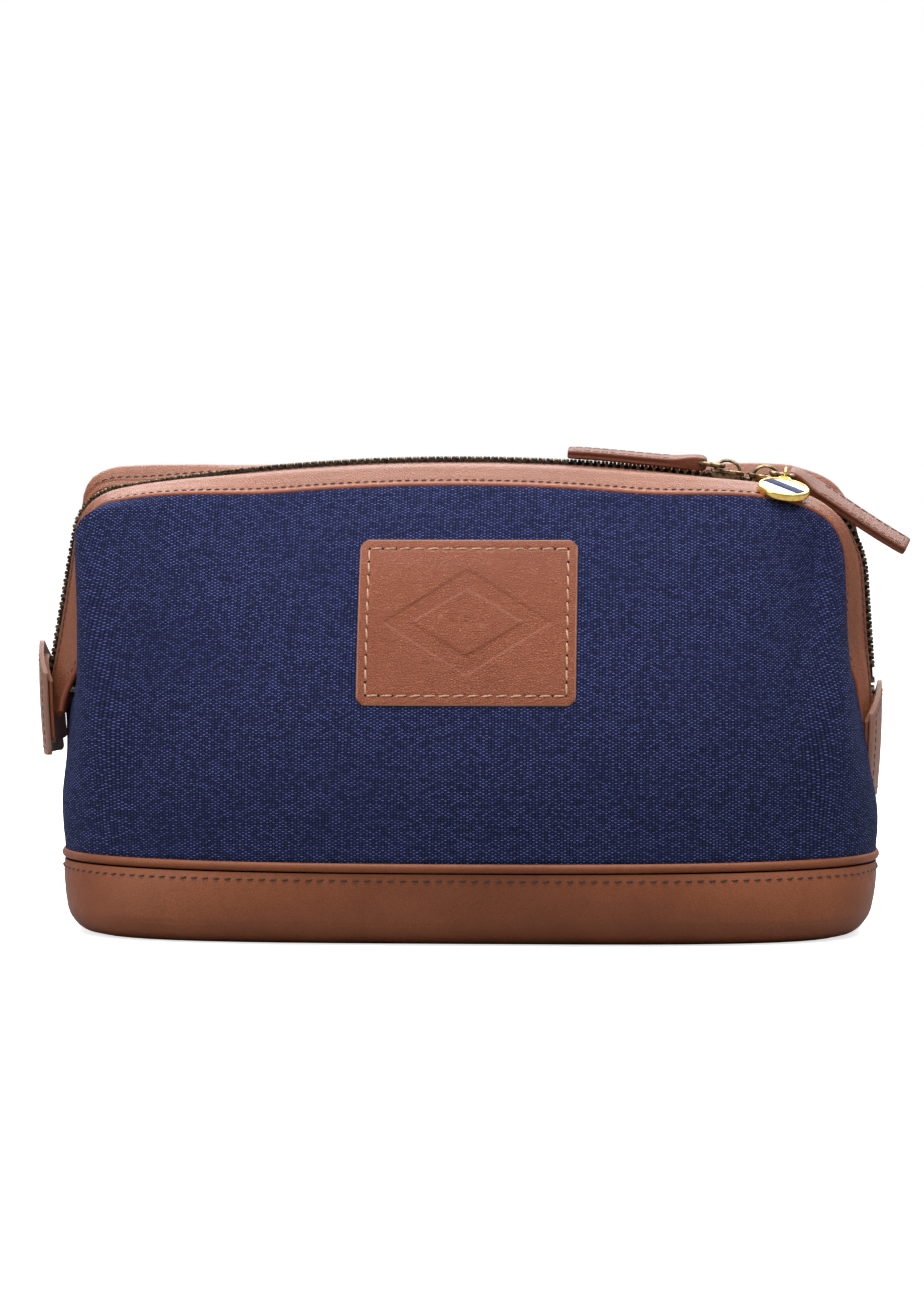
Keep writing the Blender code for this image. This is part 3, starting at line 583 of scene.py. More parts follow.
TAN, TAN_SHADE = (0.270, 0.080, 0.030), (0.190, 0.052, 0.019)
MATERIALS = {
    "canvas": woven_material("navy_canvas", (0.001, 0.0015, 0.006), (0.018, 0.026, 0.100),
                             (0.120, 0.148, 0.42), (0.96, 0.54), 0.30, 0.9),
    "lining": woven_material("lining_cloth", (0.20, 0.17, 0.13), (0.38, 0.33, 0.26),
                             (0.46, 0.41, 0.33), (0.4, 0.4), 0.12, 0.85),
    "tape": woven_material("zip_tape", (0.012, 0.007, 0.005), (0.040, 0.022, 0.014),
                           (0.055, 0.032, 0.020), (0.5, 0.35), 0.15, 0.8),
    "base": leather_material("base_leather", TAN, TAN_SHADE, 0.8, 0.03, 0.5, 0.03, 0.7),
    "piping": leather_material("piping_leather", (0.30, 0.080, 0.034),
                               (0.22, 0.055, 0.022), 0.8, 0.04, 0.45, 0.1),
    "strip": leather_material("strip_leather", (0.31, 0.105, 0.050),
                               (0.24, 0.075, 0.034), 0.75, 0.12, 0.42, 0.2),
    "patch": leather_material("patch_leather", (0.36, 0.100, 0.042),
                               (0.29, 0.075, 0.030), 0.77, 0.32, 0.42, 0.15),
    "edge": leather_material("cut_edge_leather", (0.46, 0.20, 0.110), (0.33, 0.13, 0.07), 0.5, 0.06, 0.6),
    "pull": leather_material("pull_leather", (0.23, 0.068, 0.030),
                               (0.15, 0.04, 0.017), 0.7, 0.08, 0.42, 0.15),
    "tab": leather_material("tab_leather", (0.33, 0.165, 0.115), (0.24, 0.11, 0.075), 0.6, 0.06, 0.5, 0.1),
    "thread": thread_material("brown_thread", (0.10, 0.030, 0.014)),
    "dark_thread": thread_material("dark_thread", (0.045, 0.015, 0.007)),
    "pale_thread": thread_material("pale_thread", (0.72, 0.42, 0.27)),
    # needle holes: a near-black leather, painted shade standing in for the depth of the holes
    "hole_shade": leather_material("needle_hole_shade", (0.012, 0.006, 0.004),
                               (0.008, 0.004, 0.003), 0.5, 0.02, 0.9, 0.0),
    "brass": metal_material("antique_brass", (0.36, 0.26, 0.14), (0.08, 0.055, 0.032), 0.34),
    "teeth": metal_material("zip_teeth", (0.20, 0.14, 0.09), (0.04, 0.026, 0.018), 0.45),
    "steel": metal_material("drawn_steel", (0.62, 0.62, 0.63), (0.40, 0.40, 0.41), 0.3),
    "gold": metal_material("polished_gold", (0.95, 0.66, 0.20), (0.80, 0.50, 0.12), 0.2, 0.3, 0.01),
    "enamel": enamel_material("white_enamel", (0.86, 0.86, 0.84), 1.0),
    "navy_enamel": enamel_material("navy_enamel", (0.012, 0.022, 0.085), 0.0),
    "board": board_material("grey_board"),
}


def finish_piece(obj, slot, replaced=(), body=None, bend=None, to_body=None):
    """Hides the frame nodes that the piece replaces, and parents the piece to its body's empty, or, for a
    bending piece, only bakes its transform.
    """
    if replaced:
        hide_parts(*replaced)
    if bend:
        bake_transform(obj)
    else:
        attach(obj, body)
    return obj


def paint_node(node, material):
    """Gives a node that stays from the frame one of the materials."""
    slots = frame["nodes"][node].data.materials
    slots.clear()
    slots.append(MATERIALS[material])


# ---------------------------------------------------------------- base


def outline_point(angle, inset, power):
    """A point of the base outline, moved inwards, at an angle from +X."""
    c, s = math.cos(angle), math.sin(angle)
    x = (HALF_WIDTH - inset) * math.copysign(abs(c) ** (2 / power), c)
    y = (HALF_DEPTH - inset) * math.copysign(abs(s) ** (2 / power), s)
    return x, y


def outline_ring(inset, z, sides=240):
    """The outline at a height, squarer towards the ground. Inset and height in millimetres."""
    power = mix(SOLE_POWER, TOP_POWER, min(z * MM / PIPING_Z, 1.0))
    angles = [2 * math.pi * i / sides for i in range(sides)]
    return [Vector((*outline_point(a, inset * MM, power), z * MM)) for a in angles]


def make_band():
    """Leather band: a nearly upright face, a crease near the ground and a tucked-in hem."""
    face = curve_through([(1.0, 22.4), (0.9, 19.0), (1.6, 13.0), (2.6, 8.0), (3.2, 6.4)], 4)
    hem = curve_through([(3.3, 6.0), (4.4, 4.4), (6.2, 2.4), (8.6, 0.9), (11.6, 0.3)], 3)
    inside = curve_through([(11.6, 1.4), (8.6, 2.1), (6.3, 3.9), (4.3, 7.6), (2.8, 15.0), (2.2, 22.4)], 2)
    rings = []
    for inset, z in face + hem + inside:
        ring = outline_ring(inset, z)
        outer = smooth_share((20 - z) / 6) * smooth_share((z - 4) / 4) * (inset < 4)
        for point in ring:
            away = Vector((point.x / HALF_WIDTH**2, point.y / HALF_DEPTH**2, 0)).normalized()
            point += away * outer * 0.35 * MM * ripple(point, 30, 3.1)
        rings.append(ring)
    columns = [list(column) for column in zip(*rings)]
    band = outwards(skin("base_band_leather", columns, MATERIALS["base"], loop=True))
    finish_piece(band, "tan_leather", ["base_band"], "root")


def outline_normals(ring):
    count = len(ring)
    tangents = [ring[(i + 1) % count] - ring[i - 1] for i in range(count)]
    return [Vector((t.y, -t.x, 0)).normalized() for t in tangents]


def make_base_trim():
    """Piping on the top edge of the band and the row of stitches below it."""
    ring = outline_ring(PIPING_RADIUS / MM, PIPING_Z / MM)
    rings = tube_rings(ring, PIPING_RADIUS, 12, True)
    piping = solid("base_piping_cord", rings, MATERIALS["base"], loop=True)
    finish_piece(piping, "tan_leather", ["base_piping"], "root")
    path = outline_ring(0.75, 20.4)
    normals = outline_normals(path)
    path = [(path + path[:1], normals + normals[:1])]
    row = stitch_row("base_stitches", path, MATERIALS["dark_thread"], BASE_STITCH_PITCH, 0.6)
    finish_piece(row, "tan_leather", (), "root")
    paint_node("base_panel", "base")
    paint_node("base_board", "board")


TRAY_FLOOR, TRAY_SIDES = 5.2, 160  # height of the lining's floor in millimetres, points of each ring
TRAY_MIDDLE = 60 * MM  # half length of the line that the floor closes on


def make_tray_lining():
    """Lining of the base: a shallow tray with soft corners."""
    section = curve_through([(3.2, 22.2), (3.7, 15.0), (5.4, 8.6), (8.4, 5.8), (14.0, TRAY_FLOOR)], 4)
    rings = [outline_ring(inset, z, TRAY_SIDES) for inset, z in section]
    for inset in (24, 36, 48, 60):
        rings.append(outline_ring(inset, TRAY_FLOOR, TRAY_SIDES))
    angles = [2 * math.pi * i / TRAY_SIDES for i in range(TRAY_SIDES)]
    rings.append([Vector((TRAY_MIDDLE * math.cos(angle), 0, TRAY_FLOOR * MM)) for angle in angles])
    tray = skin("tray_lining", rings, MATERIALS["lining"], closed=False)
    join_seam(tray, rings)
    thicken(tray, 0.5)
    finish_piece(tray, "lining_cloth", ["lining_tray"], "root")


def join_seam(obj, rings):
    """Closes the last gap of open rings that run round the outline."""
    mesh = obj.data
    count = len(rings[0])
    faces = [tuple(face.vertices) for face in mesh.polygons]
    for i in range(len(rings) - 1):
        row, after = i * count, (i + 1) * count
        faces.append((row + count - 1, row, after, after + count - 1))
    vertices = [v.co.copy() for v in mesh.vertices]
    mesh.clear_geometry()
    mesh.from_pydata(vertices, [], faces)
    layer = mesh.uv_layers.new(name="UVMap")
    for loop in mesh.loops:
        point = vertices[loop.vertex_index]
        layer.data[loop.index].uv = (point.x / MM, (point.y + point.z) / MM)
    mesh.shade_smooth()


def thicken(obj, thickness):
    """Gives a sheet its thickness in millimetres, inwards from its face."""
    modifier = obj.modifiers.new("thickness", "SOLIDIFY")
    modifier.thickness = thickness * MM
    modifier.offset = -1.0


# ---------------------------------------------------------------- line of the zip


class ZipHalf:
    """Half of the closed zip, on the right: half the arch, a corner arc and a flared side."""

    def __init__(self, end):
        self.radius = CORNER_RADIUS[end]
        self.foot_lift = FOOT_LIFT[end]
        self.foot_taper = FOOT_TAPER[end]
        self.flare = Vector((math.cos(END_FLARE[end]), math.sin(END_FLARE[end])))
        reach = ARCH_RADIUS - self.radius
        level = ARCH_CENTRE.z + self.radius * self.flare.y - PIVOT.z
        across = ZIP_HALF_WIDTH - self.radius * self.flare.x - level * math.tan(END_FLARE[end])
        self.arch_angle = math.asin(across * self.flare.x / reach) - END_FLARE[end]
        lean = Vector((math.sin(self.arch_angle), math.cos(self.arch_angle)))
        self.corner = Vector((0, ARCH_CENTRE.z)) + reach * lean
        self.side_top = self.corner + self.radius * self.flare
        self.arch_length = ARCH_RADIUS * self.arch_angle
        self.corner_length = self.radius * (math.pi / 2 - END_FLARE[end] - self.arch_angle)
        self.side_length = (self.side_top.y - PIVOT.z) / self.flare.x
        self.length = self.arch_length + self.corner_length + self.side_length

    def station(self, along):
        """(x, z) of the line, its outward normal and its share of the end profile."""
        if along < self.arch_length:
            angle = along / ARCH_RADIUS
            normal = Vector((math.sin(angle), math.cos(angle)))
            point = Vector((0, ARCH_CENTRE.z)) + normal * ARCH_RADIUS
        elif along < self.arch_length + self.corner_length:
            angle = self.arch_angle + (along - self.arch_length) / self.radius
            normal = Vector((math.sin(angle), math.cos(angle)))
            point = self.corner + normal * self.radius
        else:
            down = along - self.arch_length - self.corner_length
            normal = self.flare
            point = self.side_top + down * Vector((self.flare.y, -self.flare.x))
        lead = 12 * MM
        share = smooth_share((along - self.arch_length + lead) / (self.corner_length + lead))
        return point, normal, share

    def lift(self, along):
        """How far the canvas pushes the outer edge of the mouth up at a distance, in millimetres."""
        side_start = self.arch_length + self.corner_length
        rise = smooth_share((along - LIFT_START) / (LIFT_FULL - LIFT_START))
        fall = 1 - smooth_share((along - side_start) / LIFT_FALL)
        ear = bell(along, side_start - self.corner_length / 2, EAR_WIDTH)
        foot = smooth_share((along - self.length + FOOT_LIFT_LENGTH) / FOOT_LIFT_LENGTH)
        return CORNER_LIFT * rise * fall + EAR_LIFT * ear + self.foot_lift * foot

    def ridge_share(self, along):
        """1 round the corner, falling to 0 along the top and down the side."""
        rise = min(along / self.arch_length, 1.0) ** 2
        return rise * (1 - smooth_share((along - self.arch_length) / self.corner_length * 1.3 - 0.3))


HALVES = {end: ZipHalf(end) for end in (-1, 1)}


def station(distance):
    """The half line's station. The distance runs from the middle, positive to the right."""
    end = -1 if distance < 0 else 1
    point, normal, share = HALVES[end].station(abs(distance))
    return Vector((end * point.x + MOUTH_X, point.y)), Vector((end * normal.x, normal.y)), share


def zip_point(distance, side, y, depth):
    """World point at y and a depth below the line, in millimetres. Side is -1 front, 1 back."""
    place, normal, _ = station(distance)
    place = place - normal * depth * MM
    return Vector((place.x, side * y * MM, place.y))


def half_at(distance):
    return HALVES[-1 if distance < 0 else 1]


def mouth_lift(distance, y):
    """How far the mouth is pushed up at y, growing from the zip to the outer edge, in millimetres."""
    outer = mix(STRIP_TOP[-1][0], STRIP_SIDE[-1][0], station(distance)[2])
    grown = min(max((y - STRIP_INNER) / (outer - STRIP_INNER), 0.0), 1.0)
    return half_at(distance).lift(abs(distance)) * grown


def frame_point(distance, side, y, depth):
    """Like zip_point, with the outer edge of the mouth lifted and its feet drawn in."""
    half = half_at(distance)
    lift = mouth_lift(distance, y)
    if side > 0:
        ridge = bell(y, mix(*RIDGE_PLACE, station(distance)[2]), RIDGE_WIDTH)
        lift += BACK_RIDGE * half.ridge_share(abs(distance)) * ridge
    near_foot = smooth_share((abs(distance) - half.length + TAPER_LEAD) / TAPER_LENGTH)
    taper = mix(1.0, half.foot_taper, near_foot)
    return zip_point(distance, side, mix(STRIP_INNER, y, mix(1.0, taper, 0.6)), (depth - lift) * taper)


def edge_point(distance, side):
    """Top edge of the wall's canvas, tucked under the piping of the mouth."""
    share = station(distance)[2]
    y = mix(EDGE_TOP[0], EDGE_SIDE[0], share)
    return zip_point(distance, side, y, mix(EDGE_TOP[1], EDGE_SIDE[1], share) - mouth_lift(distance, y))


def distances(short_left, short_right, step=2.2 * MM):
    """Even stations from foot to foot. A negative shortening runs on past the pivot."""
    low = -(HALVES[-1].length - short_left)
    high = HALVES[1].length - short_right
    count = round((high - low) / step)
    return [mix(low, high, i / count) for i in range(count + 1)]


# ---------------------------------------------------------------- frame: strips, piping, tapes, teeth


def strip_line(distance):
    """Outer line of the top strip at a station: a soft ridge over the wire, dips at the stitches."""
    share = station(distance)[2]
    control = [(mix(a[0], b[0], share), mix(a[1], b[1], share)) for a, b in zip(STRIP_TOP, STRIP_SIDE)]
    line = curve_through(control, 5)
    normals = normals_2d(line)
    shaped = []
    for i, (point, normal) in enumerate(zip(line, normals)):
        t = i / (len(line) - 1)
        ridge = 0.55 * bell(t, 0.58, 0.16) - 0.22 * bell(t, 0.30, 0.05) - 0.25 * bell(t, 0.93, 0.05)
        shaped.append(point - normal * ridge)
    return shaped


def strip_relief(distance, side, place):
    """Soft cross folds of the strip, mostly round the corners, in millimetres."""
    share = station(distance)[2]
    folds = 0.45 * math.sin(math.pi * share) + 0.12
    return folds * ripple((place.x * 1.0, place.y * 0.35, place.z), 9, 5.0 + side) * 0.8


def strip_rings(side):
    rings = []
    for distance in distances(-8 * MM, -12 * MM):
        line = strip_line(distance)
        place = station(distance)[0]
        spot = Vector((place.x, side * line[0].x * MM, place.y))
        lift = strip_relief(distance, side, spot)
        middle = line[len(line) // 2].x
        ring = []
        for y, depth in band_profile(line, STRIP_THICKNESS):
            ring.append(frame_point(distance, side, y, depth - lift * bell(y, middle, 6.0)))
        rings.append(ring)
    return rings


def strip_path(side, t_place, short_left, short_right):
    """(points, normals) on the outer face of a strip, at a share of its width."""
    points, normals = [], []
    for distance in distances(short_left, short_right):
        line = strip_line(distance)
        index = round(t_place * (len(line) - 1))
        across = normals_2d(line)[index]
        place, out, _ = station(distance)
        spot = Vector((place.x, side * line[0].x * MM, place.y))
        lift = strip_relief(distance, side, spot) * bell(line[index].x, line[len(line) // 2].x, 6.0)
        points.append(frame_point(distance, side, line[index].x, line[index].y - lift))
        normals.append(Vector((-out.x * -across.y, -side * across.x, -out.y * -across.y)).normalized())
    return points, normals


def make_strip(side):
    name = PLACE[side]
    body = name + "_frame"
    bend = {"bend": STRIP_BEND, "to_body": body}
    strip = solid(f"strip_leather_{name}", strip_rings(side), MATERIALS["strip"])
    finish_piece(strip, "tan_leather", [f"top_strip_{name}"], **bend)
    for label, t_place in (("zip", 0.30), ("piping", 0.93)):
        path = strip_path(side, t_place, 6 * MM, 2 * MM)
        row = stitch_row(f"strip_{label}_stitches_{name}", [path], MATERIALS["thread"])
        finish_piece(row, "tan_leather", (), **bend)
    centre = []
    for distance in distances(-6 * MM, -20 * MM):
        share = station(distance)[2]
        spot = Vector(MOUTH_PIPING_TOP).lerp(Vector(MOUTH_PIPING_SIDE), share)
        centre.append(frame_point(distance, side, *spot))
    piping = solid(f"mouth_cord_{name}", tube_rings(centre, MOUTH_PIPING_RADIUS, 12), MATERIALS["piping"])
    finish_piece(piping, "tan_leather", [f"mouth_piping_{name}"], **bend)


def make_tape(side):
    name = PLACE[side]
    rings = []
    for distance in distances(3.5 * MM, 3.5 * MM):
        share = station(distance)[2]
        line = [Vector((mix(a[0], b[0], share), mix(a[1], b[1], share))) for a, b in zip(TAPE_TOP, TAPE_SIDE)]
        section = band_profile(curve_through(line, 4), 0.5, 1)
        rings.append([frame_point(distance, side, y, depth) for y, depth in section])
    tape = solid(f"tape_weave_{name}", rings, MATERIALS["tape"])
    finish_piece(tape, "zip_tape", [f"zip_tape_{name}"], name + "_frame")


TOOTH_DEPTH = -0.35  # the teeth stand a little out of the strips


def tooth_part(distance, side, parting):
    """One cast tooth: a body on the tape, a narrower neck and a rounded head over the centre line."""
    shape = [(3.1 + parting, 0.42, 0.75), (2.8 + parting, 0.55, 1.05), (0.9 + parting, 0.52, 1.15)]
    shape += [(0.1 + parting, 0.44, 1.1), (-0.75 + parting, 0.5, 1.05), (-1.0 + parting, 0.34, 0.8)]
    vertices = []
    chamfer = 0.22
    for y, half_length, half_height in shape:
        corners = []
        for sx, sz in ((1, 1), (-1, 1), (-1, -1), (1, -1)):
            near = (sx * (half_length - chamfer), sz * half_height)
            far = (sx * half_length, sz * (half_height - chamfer))
            corners += [far, near] if sx * sz > 0 else [near, far]
        for along, height in corners:
            vertices.append(zip_point(distance + along * MM, side, y, TOOTH_DEPTH - height))
    return vertices, tube_faces(len(shape), len(vertices) // len(shape))


def parting_at(distance, sliders):
    """How far the chain's halves stand apart at a distance, in millimetres."""
    left, right = sliders
    into = smooth_share((distance - left + 1 * MM) / (6 * MM))
    out = smooth_share((distance - right + 5 * MM) / (6 * MM))
    return 1.15 * (into - out)


def make_teeth(side, sliders):
    name = PLACE[side]
    pitch = 2.5 * MM
    low, high = -(HALVES[-1].length - 4.6 * MM), HALVES[1].length - 4.6 * MM
    count = int((high - low) / pitch)
    start = low + (0.5 * pitch if side > 0 else 0.0)
    parts = []
    for i in range(count):
        distance = start + i * pitch
        parts.append(tooth_part(distance, side, parting_at(distance, sliders)))
    teeth = outwards(joined(f"zip_teeth_{name}", parts, MATERIALS["teeth"], 35))
    finish_piece(teeth, "antique_brass", [f"zip_coil_{name}"], name + "_frame")


def make_wire_casing(side):
    """Lining cloth wrapped round the spring wire and caught in the strip's seams."""
    name = PLACE[side]
    rings = []
    for distance in distances(16 * MM, 16 * MM, 4 * MM):
        share = station(distance)[2]
        y, depth = mix(WIRE_TOP[0], WIRE_SIDE[0], share), mix(WIRE_TOP[1], WIRE_SIDE[1], share)
        wave = 0.12 * ripple((distance, side * 0.01, 0), 7, 2.0)
        rings.append([frame_point(distance, side, *p) for p in circle((y, depth), 1.6 + wave, 12)])
    casing = solid(f"wire_casing_{name}", rings, MATERIALS["lining"])
    finish_piece(casing, "lining_cloth", (), name + "_frame")
    line = []
    for distance in distances(3 * MM, 3 * MM):
        spot = Vector(WIRE_TOP).lerp(Vector(WIRE_SIDE), station(distance)[2])
        line.append(frame_point(distance, side, *spot))
    wire = solid(f"spring_wire_{name}", tube_rings(line, 1.0 * MM, 12), MATERIALS["steel"])
    finish_piece(wire, "spring_steel", [f"frame_wire_{name}"], name + "_frame")


# ---------------------------------------------------------------- walls


def wall_column(share, side):
    """Foot, control and top of the wall's outer face at a share from -1 to 1 round the bag."""
    angle = math.radians(90 * share - 90)
    x, y = outline_point(angle, WALL_FOOT_INSET, TOP_POWER)
    foot = Vector((x, -side * y, WALL_FOOT_Z - 1.2 * MM))
    end = -1 if share < 0 else 1
    length = HALVES[end].length
    if abs(share) <= FOOT_SHARE:
        top = edge_point(share / FOOT_SHARE * length, side)
    else:
        edge = edge_point(end * length, side)
        seam = Vector((MOUTH_X + end * SEAM_TOP.x, 0, SEAM_TOP.z))
        top = edge.lerp(seam, (abs(share) - FOOT_SHARE) / (1 - FOOT_SHARE))
    control = foot.copy()
    control.z = mix(foot.z, top.z, WALL_CONTROL_SHARE)
    return foot, control, top


def wall_bulge(share, height, point):
    """How far the soft canvas stands out from the CAD wall, in millimetres."""
    held = smooth_share(height / 0.12) * smooth_share((1 - height) / 0.10)
    left_ear = 6.0 * bell(share, -0.64, 0.12) * smooth_share(height / 0.8) * smooth_share((1 - height) / 0.03)
    right_fold = -2.6 * bell(share, 0.585, 0.035) * bell(height, 0.82, 0.2)
    right_swell = 1.6 * bell(share, 0.68, 0.09) * bell(height, 0.45, 0.25)
    low_sag = 0.9 * bell(height, 0.28, 0.22)
    waves = 0.75 * ripple(point, 46, 7.0) + 0.3 * ripple(point, 19, 1.3)
    drape = 0.7 * bell(abs(share), 0.5, 0.12) * ripple((point.x, point.y, point.z * 0.35), 15, 4.4)
    return left_ear + held * (right_fold + right_swell + low_sag + waves + drape)


def wall_grid(side, columns, rows, depth=0.0, bulge_share=1.0):
    """(points, UVs in millimetres) of half the bag's wall, from one end seam to the other."""
    points, uvs = [], []
    for i in range(columns + 1):
        share = mix(-1.0, 1.0, i / columns)
        foot, control, top = wall_column(share, side)
        away = Vector((foot.x**3 / HALF_WIDTH**4, foot.y / HALF_DEPTH**2 * 0.9, 0)).normalized()
        room = mix(1.0, 2.6, smooth_share((abs(share) - 0.70) / 0.16))  # the lining hangs loose in the ends
        column = []
        for j in range(rows + 1):
            height = j / rows
            point = foot.lerp(control, height).lerp(control.lerp(top, height), height)
            slope = (control.lerp(top, height) - foot.lerp(control, height)).normalized()
            normal = (away - slope * away.dot(slope)).normalized()
            out = wall_bulge(share, height, point) * bulge_share - depth * room
            column.append(point + normal * out * MM)
        points.append(column)
        heights = running_lengths(column)
        turn = smooth_share((abs(share) - 0.45) / 0.2)
        row = []
        for point, v in zip(column, heights):
            round_corner = math.copysign(105 + 45 - abs(point.y) / MM, share)
            row.append((mix(point.x / MM, round_corner, turn), v))
        uvs.append(row)
    return points, uvs


def make_wall(side):
    name = PLACE[side]
    bend = {"bend": WALL_BEND, "to_body": name + "_frame"}
    points, uvs = wall_grid(side, 300, 64)
    canvas = skin(f"canvas_wall_{name}", points, MATERIALS["canvas"], closed=False, uv_grid=uvs)
    if side > 0:
        canvas.data.flip_normals()
    thicken(canvas, 1.0)
    ends = ["canvas_end_left", "canvas_end_right"] if side < 0 else []
    finish_piece(canvas, "navy_canvas", [f"canvas_{name}"] + ends, **bend)
    points, uvs = wall_grid(side, 140, 32, depth=2.4, bulge_share=0.9)
    lining = skin(f"lining_wall_{name}", points, MATERIALS["lining"], closed=False, uv_grid=uvs)
    if side > 0:
        lining.data.flip_normals()
    thicken(lining, 0.4)
    ends = ["lining_end_left", "lining_end_right"] if side < 0 else []
    finish_piece(lining, "lining_cloth", [f"lining_{name}"] + ends, bend=LINING_BEND, to_body=name + "_frame")


# ---------------------------------------------------------------- patch

# The patch hangs a little lower and is a little smaller than in the CAD, in millimetres
PATCH_DROP, PATCH_TRIM, PATCH_HALF_HEIGHT = 1.6, 1.2, 25.2
PATCH_RADIUS = 3.4  # corner radius
PATCH_THICK = 1.5
PATCH_SEAM = 3.1  # from the edge to the stitches
PATCH_PITCH = 4.2  # of the stitches
LOZENGE = (26.0, 16.0)  # half diagonals of the pressed lozenge
INNER_LOZENGE = (17.0, 10.0)
PRESS_DEPTH, DOT_SPACING = 0.34, 4.6


def wall_surface(x, z):
    """(point, normal) of the front canvas at x and z, found by stepping along the wall."""
    share, height = x / (2 * HALF_WIDTH), 0.5
    for _ in range(14):
        point = wall_face(share, height)
        share += (x - point.x) / (2 * HALF_WIDTH)
        height += (z - point.z) / (ZIP_TOP_Z - WALL_FOOT_Z)
    step = 0.01
    along = wall_face(share + step, height) - wall_face(share - step, height)
    up = wall_face(share, height + step) - wall_face(share, height - step)
    return wall_face(share, height), along.cross(up).normalized()


def wall_face(share, height):
    foot, control, top = wall_column(share, -1)
    point = foot.lerp(control, height).lerp(control.lerp(top, height), height)
    return point + Vector((0, -wall_bulge(share, height, point) * MM, 0))


def lozenge_distance(x, z, lozenge):
    """Signed distance in millimetres from a lozenge's outline, negative inside."""
    a, b = lozenge
    return (abs(x) / a + abs(z) / b - 1) * a * b / math.hypot(a, b)


def patch_height(x, z, half_width, half_height):
    """Height of the patch's face above the canvas, with the pressed motif."""
    inner_x = abs(x) - (half_width - PATCH_RADIUS)
    inner_z = abs(z) - (half_height - PATCH_RADIUS)
    if inner_x > 0 and inner_z > 0:
        border = PATCH_RADIUS - math.hypot(inner_x, inner_z)
    else:
        border = min(half_width - abs(x), half_height - abs(z))
    edge = math.sqrt(max(1 - (1 - min(border / 0.9, 1)) ** 2, 0.0))
    seam = -0.22 * bell(border, PATCH_SEAM, 0.5)
    outer = smooth_share(0.5 - lozenge_distance(x, z, LOZENGE) / 0.5)
    inner = smooth_share(0.5 - lozenge_distance(x, z, INNER_LOZENGE) / 0.5)
    dots = sum(bell(math.hypot(x - dx, z), 0, 1.3) for dx in (-DOT_SPACING, 0, DOT_SPACING))
    return mix(0.35, PATCH_THICK, edge) + seam - PRESS_DEPTH * (outer - inner) - PRESS_DEPTH * min(dots, 1.0)


def patch_frame():
    """Function from patch coordinates in millimetres to (point, normal) on the canvas."""
    centre = (PATCH_LOW + PATCH_HIGH) / 2 - Vector((0, 0, PATCH_DROP * MM))
    half_width = (PATCH_HIGH.x - PATCH_LOW.x) / 2 / MM - PATCH_TRIM
    half_height = PATCH_HALF_HEIGHT
    steps = 12
    table = {}
    for i in range(steps + 1):
        for j in range(steps + 1):
            x, z = mix(-1, 1, i / steps) * half_width, mix(-1, 1, j / steps) * half_height
            table[i, j] = wall_surface(centre.x + x * MM, centre.z + z * MM)

    def at(x, z):
        u = min(max((x / half_width + 1) / 2 * steps, 0), steps - 1e-6)
        v = min(max((z / half_height + 1) / 2 * steps, 0), steps - 1e-6)
        i, j = int(u), int(v)
        s, t = u - i, v - j
        found = []
        for k in (0, 1):
            low = table[i, j][k].lerp(table[i + 1, j][k], s)
            high = table[i, j + 1][k].lerp(table[i + 1, j + 1][k], s)
            found.append(low.lerp(high, t))
        return found[0], found[1].normalized()

    return at, half_width, half_height


def rounded(x, z, half_width, half_height, radius):
    """Pulls a point of the rectangle's corners back onto the rounded corner."""
    cx, cz = half_width - radius, half_height - radius
    dx, dz = max(abs(x) - cx, 0), max(abs(z) - cz, 0)
    reach = math.hypot(dx, dz)
    if dx > 0 and dz > 0 and reach > radius:
        x = math.copysign(cx + dx * radius / reach, x)
        z = math.copysign(cz + dz * radius / reach, z)
    return x, z


def make_patch():
    at, half_width, half_height = patch_frame()
    columns, rows = 190, 140
    rings = []
    for i in range(columns + 1):
        x = mix(-half_width, half_width, i / columns)
        outer, inner = [], []
        for j in range(rows + 1):
            z = mix(-half_height, half_height, j / rows)
            px, pz = rounded(x, z, half_width, half_height, PATCH_RADIUS)
            point, normal = at(px, pz)
            outer.append(point + normal * (0.15 + patch_height(px, pz, half_width, half_height)) * MM)
            if j % 10 == 0:
                inner.append(point + normal * 0.1 * MM)
        rings.append(outer + inner[::-1])
    patch = solid("patch_leather_piece", rings, MATERIALS["patch"])
    edge_faces(patch, len(rings[0]), rows + 1)
    finish_piece(patch, "tan_leather", ["leather_patch"], "front_frame")
    make_patch_stitches(at, half_width, half_height)


def edge_faces(patch, per_ring, outer_count):
    """Gives the cut edge round the patch its paler colour."""
    patch.data.materials.append(MATERIALS["edge"])
    for face in patch.data.polygons:
        places = [v % per_ring for v in face.vertices]
        rings = [v // per_ring for v in face.vertices]
        last = (len(patch.data.vertices) // per_ring) - 1
        on_side = min(rings) < 2 or max(rings) > last - 2
        on_end = min(places) < 2 or max(places) > outer_count - 3
        if on_side or on_end:
            face.material_index = 1


